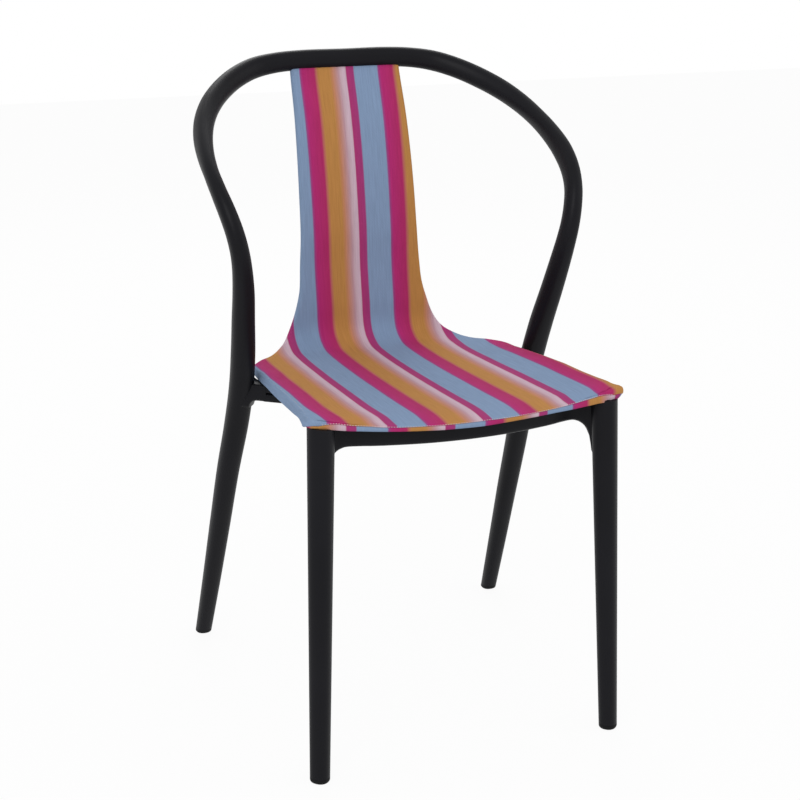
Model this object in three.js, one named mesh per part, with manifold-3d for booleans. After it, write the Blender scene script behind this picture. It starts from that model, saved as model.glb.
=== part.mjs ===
// Armchair-shaped patio chair: a moulded black frame with a striped fabric seat shell.
// Millimetres, +Z up, the sitter faces -Y. The origin is on the floor under the middle.
import * as THREE from "three";
import { mergeVertices } from "three/addons/utils/BufferGeometryUtils.js";
import Module from "manifold-3d";

const wasm = await Module();
wasm.setup();

// Overall size of the chair
const overallWidth = 500;
const overallDepth = 511;
const overallHeight = 830;

// Clearance between pieces that touch, the overrun of a cut, the reach of a whole clearance room,
// the step used to find a direction, and the distance under which two corners are one
const fit = 0.3;
const overrun = 20;
const roomReach = 80;
const probe = 1;
const weldTolerance = 0.0001;

// Seat and back: crest of the front edge, fall to the rear, and widths
const seatFrontHeight = 455;
const seatDrop = 18;
const edgeRise = 10;
const seatEdgePower = 3;
const backEdgePower = 2.5;
const frontBow = 43;
const bowFade = 220;
const cornerRadius = 6;
const postClearance = 8;
const cornerFlare = 23;
const backWidth = 176;

// Layers of the seat, from the sitter's side down
const coverThickness = 0.8;
const foamThickness = 0.8;
const coreThickness = 3;
const linerThickness = 0.5;
const bandThickness = 1;
const lipDrop = 5;
const lipWidth = 9;
const lipSlope = 9;

// The back's upper end: how far its core and its soft layers enter the top rail
const coreTuck = 14;
const softTuck = 5;

// Moulded frame sections
const frameTube = 30;
const frontLegWide = 33;
const frontLegNarrow = 29.5;
const railWidth = 21;
const railDrop = 2.5;
const railDepthFront = 29.3;
const railDepthRear = 21.5;
const legFillet = 30;
const postFillet = 11;
const armWidth = 25;
const lapLength = 38;
const lapGap = 1;

// Feet: cap height, rounding, and the plug that holds each glide in its leg
const glideHeight = 6;
const glideRounding = 3;
const glidePlugRadius = 4.5;
const glidePlugLength = 20;

// Seat bolts with tee nuts
const bossRadius = 12;
const seatBoltRadius = 3;
const seatBoltHeadRadius = 6.5;
const seatBoltHeadHeight = 3.5;
const seatBoltSocket = 2.2;
const seatBoltSink = 2;
const teeFlangeRadius = 8;
const teeFlangeThickness = 1;
const teeSink = 0.9;
const teeLift = 0.8;
const teeWall = 1.4;

// Frame bolts through the lap joints, with threaded inserts
const frameBoltRadius = 2.5;
const frameBoltHeadRadius = 4.8;
const frameBoltHeadHeight = 2.6;
const frameBoltSocket = 1.7;
const frameBoltPitch = 20;
const insertWall = 1.5;

// Screws that hold the back in the top rail
const backScrewRadius = 2;
const backScrewHeadRadius = 3.6;
const backScrewHeadHeight = 2.2;
const backScrewSink = 1.6;
const backScrewSpacing = 96;
const backScrewInset = 5.5;
const backScrewEngagement = 3.5;

// Facets: steps along and around the pieces
const tubeSides = 16;
const railSides = 8;
const turnSides = 12;
const socketSides = 6;
const rowStride = 20;
const frontRailSteps = 26;
const sideRailSteps = 40;
const armSteps = 14;
const legSteps = 5;
const profileSteps = 600;
const searchSteps = 40;

// How square each section is: 2 is an ellipse, more is squarer
const tubePower = 2.3;
const legPower = 2.2;
const railPower = 4;
const armPower = 5;
const roomPower = 8;

// Shares of a rounded edge's height at which a turned or rounded piece has a ring
const roundingShares = [0, 0.12, 0.45, 1];
const armCrowding = 1.6;

// Bolt and screw heads: crown, edge and socket as shares of the head, and the shank's tip
const crownShare = 0.7;
const headEdgeShare = 0.4;
const socketFloorShare = 0.35;
const tipShare = 0.6;

const halfWidth = overallWidth / 2;
const halfDepth = overallDepth / 2;
const seatLow = seatFrontHeight - seatDrop;

const plastic = new THREE.MeshStandardMaterial({ color: 0x1f2022, roughness: 0.55, metalness: 0 });
const glideNylon = new THREE.MeshStandardMaterial({ color: 0x18191b, roughness: 0.6, metalness: 0 });
const corePlastic = new THREE.MeshStandardMaterial({ color: 0x3a3b3e, roughness: 0.7, metalness: 0 });
const foam = new THREE.MeshStandardMaterial({ color: 0xd8d2c0, roughness: 0.95, metalness: 0 });
const fabric = new THREE.MeshStandardMaterial({ color: 0xa1586f, roughness: 0.9, metalness: 0 });
const lining = new THREE.MeshStandardMaterial({ color: 0x222326, roughness: 0.95, metalness: 0 });
const zinc = new THREE.MeshStandardMaterial({ color: 0xb4b6b8, roughness: 0.4, metalness: 0.9 });

// One side of the tube that makes the top rail, arm, post and rear leg, from the top to the foot.
// Each row: half-width share, half-depth share, height share, then the tube's size towards the
// middle and across it as shares of frameTube, and its tilt as a share of a right angle.
const loopShares = [
  [0, 0.956, 0.985, 0.83, 0.73, 1],
  [0.235, 0.955, 0.985, 0.83, 0.74, 0.97],
  [0.392, 0.952, 0.982, 0.84, 0.8, 0.9],
  [0.514, 0.932, 0.976, 0.87, 0.86, 0.82],
  [0.629, 0.872, 0.965, 0.88, 0.88, 0.74],
  [0.733, 0.786, 0.95, 0.88, 0.88, 0.66],
  [0.82, 0.683, 0.933, 0.86, 0.9, 0.55],
  [0.885, 0.569, 0.914, 0.81, 0.93, 0.42],
  [0.929, 0.446, 0.894, 0.75, 0.95, 0.25],
  [0.953, 0.314, 0.873, 0.69, 0.96, 0],
  [0.96, 0.184, 0.851, 0.64, 0.97, -0.2],
  [0.952, 0.074, 0.827, 0.66, 0.95, -0.18],
  [0.934, -0.002, 0.802, 0.7, 0.92, -0.1],
  [0.912, -0.043, 0.775, 0.73, 0.9, -0.05],
  [0.892, -0.055, 0.748, 0.76, 0.87, 0],
  [0.877, -0.043, 0.721, 0.8, 0.87, 0],
  [0.864, 0.001, 0.681, 0.89, 0.87, 0],
  [0.853, 0.064, 0.634, 0.95, 0.9, 0],
  [0.839, 0.144, 0.575, 1.01, 0.96, 0],
  [0.829, 0.223, 0.514, 1.04, 0.97, 0],
  [0.832, 0.318, 0.443, 1.04, 0.97, 0],
  [0.851, 0.439, 0.353, 1.01, 0.95, 0],
  [0.87, 0.595, 0.239, 0.95, 0.92, 0],
  [0.887, 0.75, 0.126, 0.86, 0.83, 0],
  [0.907, 0.926, 0, 0.74, 0.72, 0],
];
const stepsPerShare = 2;

// Seat profile on the sitter's side, front to rear: half-depth share, share of the seat's drop, how
// far the width has flared from the back's width (0) to the front corners' width (1), and the share
// of the edges' rise.
const seatShares = [
  [-1, 0.04, 1.03, 1],
  [-0.951, 0, 1.03, 1],
  [-0.86, 0.06, 1.015, 1],
  [-0.775, 0.12, 0.905, 1],
  [-0.583, 0.32, 0.87, 0.95],
  [-0.325, 0.56, 0.85, 0.8],
  [-0.114, 0.74, 0.835, 0.65],
  [0.07, 0.87, 0.82, 0.55],
  [0.231, 0.96, 0.81, 0.4],
  [0.356, 1, 0.775, 0.2],
  [0.446, 1, 0.63, 0],
  [0.501, 0.97, 0.495, 0],
];

// Back profile, bend to top: half-depth share, share of the rise to the top rail, flare, and edge rise.
const backShares = [
  [0.542, 0.006, 0.405, 0],
  [0.579, 0.015, 0.322, 0.03],
  [0.613, 0.028, 0.25, 0.06],
  [0.638, 0.045, 0.2, 0.12],
  [0.655, 0.067, 0.16, 0.18],
  [0.666, 0.098, 0.115, 0.27],
  [0.673, 0.14, 0.057, 0.36],
  [0.689, 0.204, 0.004, 0.48],
  [0.709, 0.297, -0.02, 0.54],
  [0.718, 0.405, -0.04, 0.54],
  [0.748, 0.552, -0.053, 0.48],
  [0.787, 0.692, -0.066, 0.36],
  [0.841, 0.83, -0.081, 0.24],
  [0.908, 0.95, -0.093, 0.12],
  [0.923, 0.982, -0.096, 0.09],
];
const backEndShare = 0.931;
const backEndFlareShare = -0.098;
const backEndRiseShare = 0.09;

// The seat's underside: half-depth shares where it starts to rise with the edges and where it has
// risen to its share of their rise
const levelShare = -0.5;
const underRiseShare = -0.8;
const underRise = 0.5;

// Places across the seat, from the middle to the edge, where its layers have a row of corners
const crossShares = [0, 0.3, 0.6, 0.84, 1];


// Front legs: foot and top as shares of the front corner and the half depth
const legFootXShare = 0.954;
const legFootYShare = -0.885;
const legTopXShare = 0.891;
const legTopYShare = -0.81;
const legTopHeightShare = 0.92;
const legFootTaperShare = 0.78;
const legFootNarrowShare = 0.72;

// Plan of the seat frame, in shares of the front corner's half width and of the half depth
const frontRailShares = [
  [0, -0.825],
  [0.25, -0.812],
  [0.5, -0.77],
  [0.7, -0.72],
  [0.82, -0.73],
  [0.9, -0.79],
];
const sideRailShares = [
  [0.9, -0.79],
  [0.8, -0.68],
  [0.705, -0.51],
  [0.668, -0.27],
  [0.655, 0.02],
  [0.63, 0.17],
  [0.5, 0.28],
  [0.25, 0.32],
  [0, 0.33],
];
const railFrontShare = -0.87;
const railRearShare = 0.33;
const lapDepthShare = 0.04;
const frontBossShare = -0.5;
const rearBossShare = 0.2;

/** A number between two others. */
function mix(from, to, share) {
  return from + (to - from) * share;
}

/** A superellipse section's two coordinates at one angle, with half sizes of 1. */
function roundedSection(angle, power) {
  const c = Math.cos(angle);
  const s = Math.sin(angle);
  return [
    Math.sign(c) * Math.abs(c) ** (2 / power),
    Math.sign(s) * Math.abs(s) ** (2 / power),
  ];
}

/** A closed geometry from points and triangles, turned inside out if its volume is negative. */
function closedGeometry(points, triangles) {
  let volume = 0;
  for (const [a, b, c] of triangles) {
    volume += points[a].dot(points[b].clone().cross(points[c]));
  }
  const faces = volume < 0 ? triangles.map(([a, b, c]) => [a, c, b]) : triangles;
  const geometry = new THREE.BufferGeometry();
  geometry.setFromPoints(points);
  geometry.setIndex(faces.flat());
  return geometry;
}

/** A manifold solid of a closed geometry. */
function solidOf(geometry) {
  const bare = geometry.clone();
  for (const name of Object.keys(bare.attributes)) {
    if (name !== "position") {
      bare.deleteAttribute(name);
    }
  }
  const merged = mergeVertices(bare, weldTolerance);
  const index = merged.index.array;
  const kept = [];
  for (let i = 0; i < index.length; i += 3) {
    if (index[i] !== index[i + 1] && index[i + 1] !== index[i + 2] && index[i] !== index[i + 2]) {
      kept.push(index[i], index[i + 1], index[i + 2]);
    }
  }
  return new wasm.Manifold(new wasm.Mesh({
    numProp: 3,
    vertProperties: new Float32Array(merged.attributes.position.array),
    triVerts: new Uint32Array(kept),
  }));
}

/** A three.js geometry of a manifold solid. */
function geometryOf(solid) {
  const mesh = solid.getMesh();
  const geometry = new THREE.BufferGeometry();
  const positions = new Float32Array(mesh.vertProperties);
  geometry.setAttribute("position", new THREE.BufferAttribute(positions, 3));
  geometry.setIndex(new THREE.BufferAttribute(new Uint32Array(mesh.triVerts), 1));
  const faceted = geometry.toNonIndexed();
  faceted.computeVertexNormals();
  return faceted;
}

/** Rings of equal length joined into a tube, closed by a fan at each end or into a ring. */
function loftRings(rings, endless = false) {
  const sides = rings[0].length;
  const points = rings.flat();
  const triangles = [];
  const last = endless ? rings.length : rings.length - 1;
  for (let i = 0; i < last; i += 1) {
    const next = (i + 1) % rings.length;
    for (let j = 0; j < sides; j += 1) {
      const a = i * sides + j;
      const b = i * sides + ((j + 1) % sides);
      const c = next * sides + j;
      const d = next * sides + ((j + 1) % sides);
      triangles.push([a, b, d], [a, d, c]);
    }
  }
  if (!endless) {
    for (const [ring, first] of [[rings[0], 0], [rings.at(-1), (rings.length - 1) * sides]]) {
      const middle = ring.reduce((sum, p) => sum.add(p), new THREE.Vector3());
      points.push(middle.divideScalar(sides));
      const centre = points.length - 1;
      for (let j = 0; j < sides; j += 1) {
        const edge = [first + j, first + ((j + 1) % sides)];
        triangles.push(first === 0 ? [centre, edge[1], edge[0]] : [centre, edge[0], edge[1]]);
      }
    }
  }
  return closedGeometry(points, triangles);
}

/** One ring of a swept bar: its middle, two unit directions, their half sizes and its squareness. */
function sectionRing({ middle, across, up, halfAcross, halfUp, power }, sides) {
  return Array.from({ length: sides }, (_, i) => {
    const [c, s] = roundedSection((2 * Math.PI * (i + 0.5)) / sides, power);
    return middle.clone()
      .addScaledVector(across, c * halfAcross)
      .addScaledVector(up, s * halfUp);
  });
}

/** A solid swept through sections. */
function sweptSolid(sections, sides) {
  return solidOf(loftRings(sections.map((section) => sectionRing(section, sides))));
}

/** A turned solid on the Z axis from a profile of radius and height, moved onto an axis. */
function turnedSolid(profile, place, axis = new THREE.Vector3(0, 0, 1), sides = turnSides) {
  const points = profile.map(([radius, height]) => new THREE.Vector2(radius, height));
  const geometry = new THREE.LatheGeometry(points, sides);
  const turn = new THREE.Quaternion().setFromUnitVectors(new THREE.Vector3(0, 1, 0), axis);
  geometry.applyQuaternion(turn);
  geometry.translate(place.x, place.y, place.z);
  const indexed = mergeVertices(stripped(geometry), weldTolerance);
  const vertices = indexed.attributes.position;
  const all = Array.from(
    { length: vertices.count },
    (_, i) => new THREE.Vector3().fromBufferAttribute(vertices, i),
  );
  const triangles = [];
  for (let i = 0; i < indexed.index.count; i += 3) {
    triangles.push([0, 1, 2].map((k) => indexed.index.getX(i + k)));
  }
  return solidOf(closedGeometry(all, triangles));
}

/** A geometry with only its positions left. */
function stripped(geometry) {
  geometry.deleteAttribute("normal");
  geometry.deleteAttribute("uv");
  return geometry;
}

/** A cylinder between two heights along an axis. */
function rodSolid(radius, from, to, place, axis, sides = turnSides) {
  return turnedSolid([[0, from], [radius, from], [radius, to], [0, to]], place, axis, sides);
}

/** A box between two corners. */
function boxSolid(low, high) {
  const size = high.clone().sub(low);
  const geometry = new THREE.BoxGeometry(size.x, size.y, size.z);
  const middle = low.clone().add(high).divideScalar(2);
  geometry.translate(middle.x, middle.y, middle.z);
  return solidOf(geometry);
}

/** The mirror image of a vector across the middle of the chair. */
function mirrored(vector) {
  return new THREE.Vector3(-vector.x, vector.y, vector.z);
}

// Tube centreline and sections of the frame's top rail, arms, posts and rear legs
const loopHalf = loopShares.map(([x, y, z, inward, cross, tilt]) => ({
  middle: new THREE.Vector3(x * halfWidth, y * halfDepth, z * overallHeight),
  inward: (inward * frameTube) / 2,
  cross: (cross * frameTube) / 2,
  tilt: (tilt * Math.PI) / 2,
}));
const loopRows = [
  ...loopHalf.slice(1).reverse().map((row) => ({ ...row, middle: mirrored(row.middle), side: -1 })),
  ...loopHalf.map((row) => ({ ...row, side: 1 })),
];
const loopCurve = new THREE.CatmullRomCurve3(loopRows.map((row) => row.middle), false, "centripetal");

/** The tube's section at a share of its run, from the left foot to the right foot. */
function loopSection(share) {
  const place = share * (loopRows.length - 1);
  const first = Math.min(Math.floor(place), loopRows.length - 2);
  const [a, b] = [loopRows[first], loopRows[first + 1]];
  const middle = loopCurve.getPoint(share);
  const along = loopCurve.getTangent(share);
  const tilt = mix(a.tilt, b.tilt, place - first);
  const side = a.middle.x + b.middle.x < 0 ? -1 : 1;
  const towards = new THREE.Vector3(-side * Math.cos(tilt), 0, -Math.sin(tilt));
  const up = towards.addScaledVector(along, -towards.dot(along)).normalize();
  return {
    middle,
    across: along.clone().cross(up),
    up,
    halfAcross: mix(a.cross, b.cross, place - first),
    halfUp: mix(a.inward, b.inward, place - first),
    power: tubePower,
  };
}

/** The right-hand post's middle at a height, found on the lower half of the tube. */
function postAt(height) {
  let [low, high] = [0.5 + 0.5 / loopHalf.length, 1];
  for (let i = 0; i < searchSteps; i += 1) {
    const share = (low + high) / 2;
    if (loopCurve.getPoint(share).z > height) {
      low = share;
    } else {
      high = share;
    }
  }
  return loopSection(low);
}

// Seat and back surface: one profile, level across but for its raised edges
const stack = {
  cover: [0, coverThickness],
  foam: [coverThickness + fit, coverThickness + fit + foamThickness],
};
stack.core = [stack.foam[1] + fit, stack.foam[1] + fit + coreThickness];
stack.liner = [stack.core[1] + fit, stack.core[1] + fit + linerThickness];
const stackDepth = stack.liner[1];

const seatPost = postAt(seatLow);
const waistHalf = seatPost.middle.x - seatPost.halfUp - postClearance;
const cornerHalf = waistHalf + cornerFlare;
const backHalf = backWidth / 2;
const topRail = loopHalf[0];
const topRailUnderside = topRail.middle.z - topRail.inward;
const backTop = topRailUnderside + coreTuck;

const profileRows = [
  ...seatShares.map(([depth, drop, flare, lift]) => [
    mix(backHalf, cornerHalf, flare),
    depth * halfDepth,
    seatFrontHeight - drop * seatDrop,
    lift * edgeRise,
  ]),
  ...backShares.map(([depth, rise, flare, lift]) => [
    mix(backHalf, cornerHalf, flare),
    depth * halfDepth,
    mix(seatLow, topRailUnderside + softTuck, rise),
    lift * edgeRise,
  ]),
  [
    mix(backHalf, cornerHalf, backEndFlareShare),
    backEndShare * halfDepth,
    backTop,
    backEndRiseShare * edgeRise,
  ],
];
const profileCurve = new THREE.CatmullRomCurve3(
  profileRows.map(([w, y, z]) => new THREE.Vector3(w, y, z)),
  false,
  "centripetal",
);

/** A value of the profile's rows, such as the rise of the edges, at a share of the row list. */
function rowValue(share, column) {
  const place = share * (profileRows.length - 1);
  const first = Math.min(Math.floor(place), profileRows.length - 2);
  return mix(profileRows[first][column], profileRows[first + 1][column], place - first);
}

// The profile sampled finely: distance along it, half width, depth, height, rise of the edges and
// how sharply they rise
const profileSamples = [];
for (let i = 0; i <= profileSteps; i += 1) {
  const share = i / profileSteps;
  const point = profileCurve.getPoint(share);
  const before = profileSamples.at(-1);
  const step = before ? Math.hypot(point.y - before.y, point.z - before.z) : 0;
  profileSamples.push({
    run: (before?.run ?? 0) + step,
    w: point.x,
    y: point.y,
    z: point.z,
    rise: rowValue(share, 3),
    power: mix(seatEdgePower, backEdgePower, share),
  });
}
const profileLength = profileSamples.at(-1).run;

/** The profile at a distance from the front edge: half width, depth, height and upward normal. */
function profileAt(run) {
  const reach = Math.min(Math.max(run, 0), profileLength);
  let [low, high] = [0, profileSamples.length - 1];
  while (high - low > 1) {
    const middle = (low + high) >> 1;
    if (profileSamples[middle].run > reach) {
      high = middle;
    } else {
      low = middle;
    }
  }
  const [a, b] = [profileSamples[low], profileSamples[high]];
  const share = (reach - a.run) / (b.run - a.run);
  const tangent = new THREE.Vector2(b.y - a.y, b.z - a.z).normalize();
  return {
    w: mix(a.w, b.w, share),
    rise: mix(a.rise, b.rise, share),
    power: mix(a.power, b.power, share),
    y: mix(a.y, b.y, share) + (run - reach) * tangent.x,
    z: mix(a.z, b.z, share) + (run - reach) * tangent.y,
    normal: new THREE.Vector2(-tangent.y, tangent.x),
  };
}

/** The distance along the profile at which it reaches a height on the back. */
function runAtHeight(height) {
  const sample = profileSamples.findLast((s) => s.z < height);
  return sample.run;
}

/** The distance along the profile at which it reaches a depth on the seat. */
function runAtDepth(depth) {
  return profileSamples.find((s) => s.y >= depth).run;
}

const softEnd = runAtHeight(topRailUnderside + softTuck);
const bendStart = seatShares.at(-1)[0] * halfDepth;

/** How far the surface is raised at a share of its half width, at a place of the profile. */
function edgeLift(side, { rise, power }) {
  const at = Math.min(Math.abs(side), 1);
  const next = Math.max(crossShares.findIndex((share) => share >= at), 1);
  const [low, high] = [crossShares[next - 1], crossShares[next]];
  return rise * mix(low ** power, high ** power, (at - low) / (high - low));
}

/** How far a layer's surface is raised: under the core the seat is level, but for its front. */
function layerLift(side, here, depth) {
  const lift = edgeLift(side, here);
  if (depth <= stack.core[0] || here.y > bendStart) {
    return lift;
  }
  const share = (here.y / halfDepth - levelShare) / (underRiseShare - levelShare);
  return lift * underRise * Math.min(Math.max(share, 0), 1);
}

/** How much deeper the lower layers hang at the front edge. */
function lipDepth(row) {
  const share = Math.min(Math.max((row - lipWidth) / lipSlope, 0), 1);
  return lipDrop * (1 - share);
}

/** A point of the seat: side share, row distance, depth under the surface, inset from the edge. */
function seatPoint(side, row, depth, inset, end) {
  const bow = frontBow * side * side * Math.max(0, 1 - row / bowFade) ** 2;
  const start = inset > 0 ? inset * Math.max(0, 1 - row / bowFade) : 0;
  const run = row < end ? Math.min(row + bow + start, end - Math.max(0, inset)) : end - inset;
  const here = profileAt(run);
  const ahead = profileAt(run + probe);
  const slant = Math.hypot(probe, ahead.w - here.w) / probe;
  const round = Math.max(0, cornerRadius - row);
  const cut = cornerRadius - Math.sqrt(cornerRadius ** 2 - round ** 2);
  const x = side * (here.w - cut - inset * slant);
  const lip = depth > stack.core[0] ? lipDepth(row + start + Math.min(inset, 0)) : 0;
  const lift = layerLift(x / here.w, here, depth) - depth - lip;
  return new THREE.Vector3(x, here.y + here.normal.x * lift, here.z + here.normal.y * lift);
}

// Distances of the rows along the seat: close at the front corners and in the bend
const cornerRowShares = [0, 0.15, 0.5, 1];
const seatRows = [
  ...cornerRowShares.map((share) => share * cornerRadius),
  lipWidth,
  lipWidth + lipSlope,
  ...profileSamples
    .filter((_, i) => i % rowStride === 0)
    .map((sample) => sample.run)
    .filter((run) => run > 2 * (lipWidth + lipSlope) && run < softEnd - cornerRadius),
  softEnd,
  profileLength,
];

const crossSides = [...crossShares.slice(1).reverse().map((share) => -share), ...crossShares];
const crossSteps = crossSides.length - 1;

/** One layer of the seat between two depths, set in from the edge and ending at a distance. */
function layerSolid([top, bottom], inset, end) {
  const rows = seatRows.filter((row) => row <= end + fit);
  const points = [];
  for (const depth of [top, bottom]) {
    for (const row of rows) {
      for (const side of crossSides) {
        points.push(seatPoint(side, row, depth, inset, end));
      }
    }
  }
  const wide = crossSteps + 1;
  const sheet = rows.length * wide;
  const triangles = [];
  for (let i = 0; i < rows.length - 1; i += 1) {
    for (let j = 0; j < crossSteps; j += 1) {
      const a = i * wide + j;
      triangles.push([a, a + 1, a + wide + 1], [a, a + wide + 1, a + wide]);
      triangles.push([sheet + a, sheet + a + wide + 1, sheet + a + 1]);
      triangles.push([sheet + a, sheet + a + wide, sheet + a + wide + 1]);
    }
  }
  const rim = [];
  for (let j = 0; j < crossSteps; j += 1) {
    rim.push(j);
  }
  for (let i = 0; i < rows.length - 1; i += 1) {
    rim.push(i * wide + crossSteps);
  }
  for (let j = crossSteps; j > 0; j -= 1) {
    rim.push((rows.length - 1) * wide + j);
  }
  for (let i = rows.length - 1; i > 0; i -= 1) {
    rim.push(i * wide);
  }
  rim.forEach((a, k) => {
    const b = rim[(k + 1) % rim.length];
    triangles.push([a, sheet + b, b], [a, sheet + a, sheet + b]);
  });
  return solidOf(closedGeometry(points, triangles));
}

const layerInset = bandThickness + 2 * fit;
const coverSolid = layerSolid(stack.cover, 0, softEnd);
const foamSolid = layerSolid(stack.foam, layerInset, softEnd);
const linerSolid = layerSolid(stack.liner, layerInset, softEnd);
const coreSolid = layerSolid(stack.core, layerInset, profileLength);

// The edge band is what is left of the full outline outside the inner layers
const bandOutline = layerSolid([stack.foam[0], stackDepth], 0, softEnd);
const bandInside = layerSolid([stack.cover[0], stackDepth + lipDrop], bandThickness, profileLength);
const bandSolid = bandOutline.subtract(bandInside);

// What the frame keeps clear of: the room the seat and everything above it takes
const seatRoom = layerSolid([-roomReach, stackDepth + fit], -postClearance / 2, softEnd);
const softSlot = layerSolid([-fit, stackDepth + fit], -fit, softEnd);
const coreSlot = layerSolid([stack.core[0] - fit, stack.core[1] + fit], -fit, profileLength);

/** The height of the seat's surface over a place, less a depth. */
function seatHeight(x, y, depth) {
  const here = profileAt(runAtDepth(y));
  return here.z + layerLift(x / here.w, here, depth) - depth;
}

/** Height of the underside of the seat frame's rails at a depth. */
function railBottom(y) {
  const share = (y / halfDepth - railFrontShare) / (railRearShare - railFrontShare);
  return seatHeight(0, y, stackDepth) - mix(railDepthFront, railDepthRear, share) - railDrop;
}

// Front legs
const legFoot = new THREE.Vector3(legFootXShare * cornerHalf, legFootYShare * halfDepth, 0);
const legTop = new THREE.Vector3(
  legTopXShare * cornerHalf,
  legTopYShare * halfDepth,
  legTopHeightShare * seatFrontHeight,
);

/** The front leg's section at a height. */
function legSection(height) {
  const share = height / legTop.z;
  const middle = legFoot.clone().lerp(legTop, share);
  const outward = new THREE.Vector3(1, -1, 0).normalize();
  return {
    middle,
    across: new THREE.Vector3(1, 1, 0).normalize(),
    up: outward,
    halfAcross: (frontLegWide / 2) * mix(legFootTaperShare, 1, share),
    halfUp: (frontLegNarrow / 2) * mix(legFootNarrowShare, 1, share),
    power: legPower,
  };
}

/** How much deeper a rail is at a place, where it runs into an upright. */
function filletDrop(place, upright, uprightHalf, radius) {
  const gap = Math.hypot(place.x - upright.x, place.y - upright.y) - uprightHalf;
  const near = Math.min(Math.max(radius - gap, 0), radius);
  return radius - Math.sqrt(radius ** 2 - near ** 2);
}

/** A rail of the seat frame along a curve in plan, deeper where it meets the front legs. */
function railSolid(curve, steps) {
  const legs = [legTop, mirrored(legTop)];
  const sections = [];
  for (let i = 0; i <= steps; i += 1) {
    const place = curve.getPointAt(i / steps);
    const along = curve.getTangentAt(i / steps);
    const top = seatHeight(place.x, place.y, stackDepth + railDrop);
    const drop = Math.max(
      ...legs.map((leg) => filletDrop(place, leg, frontLegNarrow / 2, legFillet)),
    );
    const bottom = railBottom(place.y) - drop;
    sections.push({
      middle: new THREE.Vector3(place.x, place.y, (top + bottom) / 2),
      across: new THREE.Vector3(along.y, -along.x, 0).normalize(),
      up: new THREE.Vector3(0, 0, 1),
      halfAcross: railWidth / 2,
      halfUp: (top - bottom) / 2,
      power: railPower,
    });
  }
  return sweptSolid(sections, railSides);
}

/** The room a rail takes, for cutting what passes beside it. */
function railRoom(curve, steps) {
  const sections = [];
  for (let i = 0; i <= steps; i += 1) {
    const place = curve.getPointAt(i / steps);
    const along = curve.getTangentAt(i / steps);
    sections.push({
      middle: new THREE.Vector3(place.x, place.y, seatLow),
      across: new THREE.Vector3(along.y, -along.x, 0).normalize(),
      up: new THREE.Vector3(0, 0, 1),
      halfAcross: railWidth / 2 + lapGap,
      halfUp: roomReach,
      power: roomPower,
    });
  }
  return sweptSolid(sections, railSides);
}

/** A level curve through places given on one side, from the left to the right or back again. */
function mirroredCurve(shares) {
  const half = shares.map(([x, y]) => new THREE.Vector3(x * cornerHalf, y * halfDepth, 0));
  const onAxis = half.filter((point) => point.x === 0);
  const right = half.filter((point) => point.x !== 0);
  const ordered = shares[0][0] === 0 ? right : right.toReversed();
  const points = [...ordered.toReversed().map(mirrored), ...onAxis, ...ordered];
  return new THREE.CatmullRomCurve3(points, false, "centripetal");
}

const frontRailCurve = mirroredCurve(frontRailShares);
const sideRailCurve = mirroredCurve(sideRailShares);

/** The right-hand side rail's middle at a depth. */
function sideRailAt(depth) {
  let [low, high] = [0.5, 1];
  for (let i = 0; i < searchSteps; i += 1) {
    const share = (low + high) / 2;
    if (sideRailCurve.getPoint(share).y > depth) {
      low = share;
    } else {
      high = share;
    }
  }
  return sideRailCurve.getPoint(low);
}

// Lap joints: a stub arm of the back frame under a pad of the seat frame
const lapRail = sideRailAt(lapDepthShare * halfDepth);
const lapTop = seatHeight(lapRail.x, lapRail.y, stackDepth + railDrop);
const lapBottom = railBottom(lapRail.y);
const lapSplit = (lapTop + lapBottom) / 2;
const lapPost = postAt(lapBottom);
const armRun = Math.hypot(lapPost.middle.x - lapRail.x, lapPost.middle.y - lapRail.y);
const armWay = new THREE.Vector3(
  (lapRail.x - lapPost.middle.x) / armRun,
  (lapRail.y - lapPost.middle.y) / armRun,
  0,
);
const armEnd = armRun - railWidth / 2;
const lapStart = armEnd - lapLength;

/** A place on the right-hand stub arm at a distance from its post and a height. */
function armPlace(run, height) {
  return new THREE.Vector3(
    lapPost.middle.x + armWay.x * run,
    lapPost.middle.y + armWay.y * run,
    height,
  );
}

/** A bar along the stub arm between two distances and two heights. */
function armBar(from, to, low, high, width, filleted) {
  const sections = [];
  const steps = filleted ? armSteps : 1;
  for (let i = 0; i <= steps; i += 1) {
    const run = mix(from, to, (i / steps) ** (filleted ? armCrowding : 1));
    const place = armPlace(run, 0);
    const drop = filleted ? filletDrop(place, lapPost.middle, lapPost.halfUp, postFillet) : 0;
    sections.push({
      middle: new THREE.Vector3(place.x, place.y, (low - drop + high) / 2),
      across: new THREE.Vector3(armWay.y, -armWay.x, 0),
      up: new THREE.Vector3(0, 0, 1),
      halfAcross: width / 2,
      halfUp: (high - low + drop) / 2,
      power: armPower,
    });
  }
  return sweptSolid(sections, railSides);
}

const lapUpper = armBar(lapStart, armRun, lapSplit + fit / 2, lapTop, armWidth, false);
const armSolid = armBar(0, armEnd, lapBottom, lapTop, armWidth, true)
  .subtract(squareBar(lapStart - fit, armRun + overrun, lapSplit - fit / 2, lapTop + overrun))
  .subtract(railRoom(sideRailCurve, sideRailSteps));

/** A square-cornered block along the stub arm, wider than it, for cutting the lap. */
function squareBar(from, to, low, high) {
  const geometry = new THREE.BoxGeometry(to - from, armWidth + overrun, high - low);
  geometry.rotateZ(Math.atan2(armWay.y, armWay.x));
  const middle = armPlace((from + to) / 2, (low + high) / 2);
  geometry.translate(middle.x, middle.y, middle.z);
  return solidOf(geometry);
}

/** A solid and its mirror image across the middle of the chair. */
function bothSides(solid) {
  return solid.add(solid.mirror([1, 0, 0]));
}

const up = new THREE.Vector3(0, 0, 1);
const group = new THREE.Group();

/** Adds one named piece to the chair. */
function addPiece(name, solid, material) {
  const mesh = new THREE.Mesh(geometryOf(solid), material);
  mesh.name = name;
  group.add(mesh);
}

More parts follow.
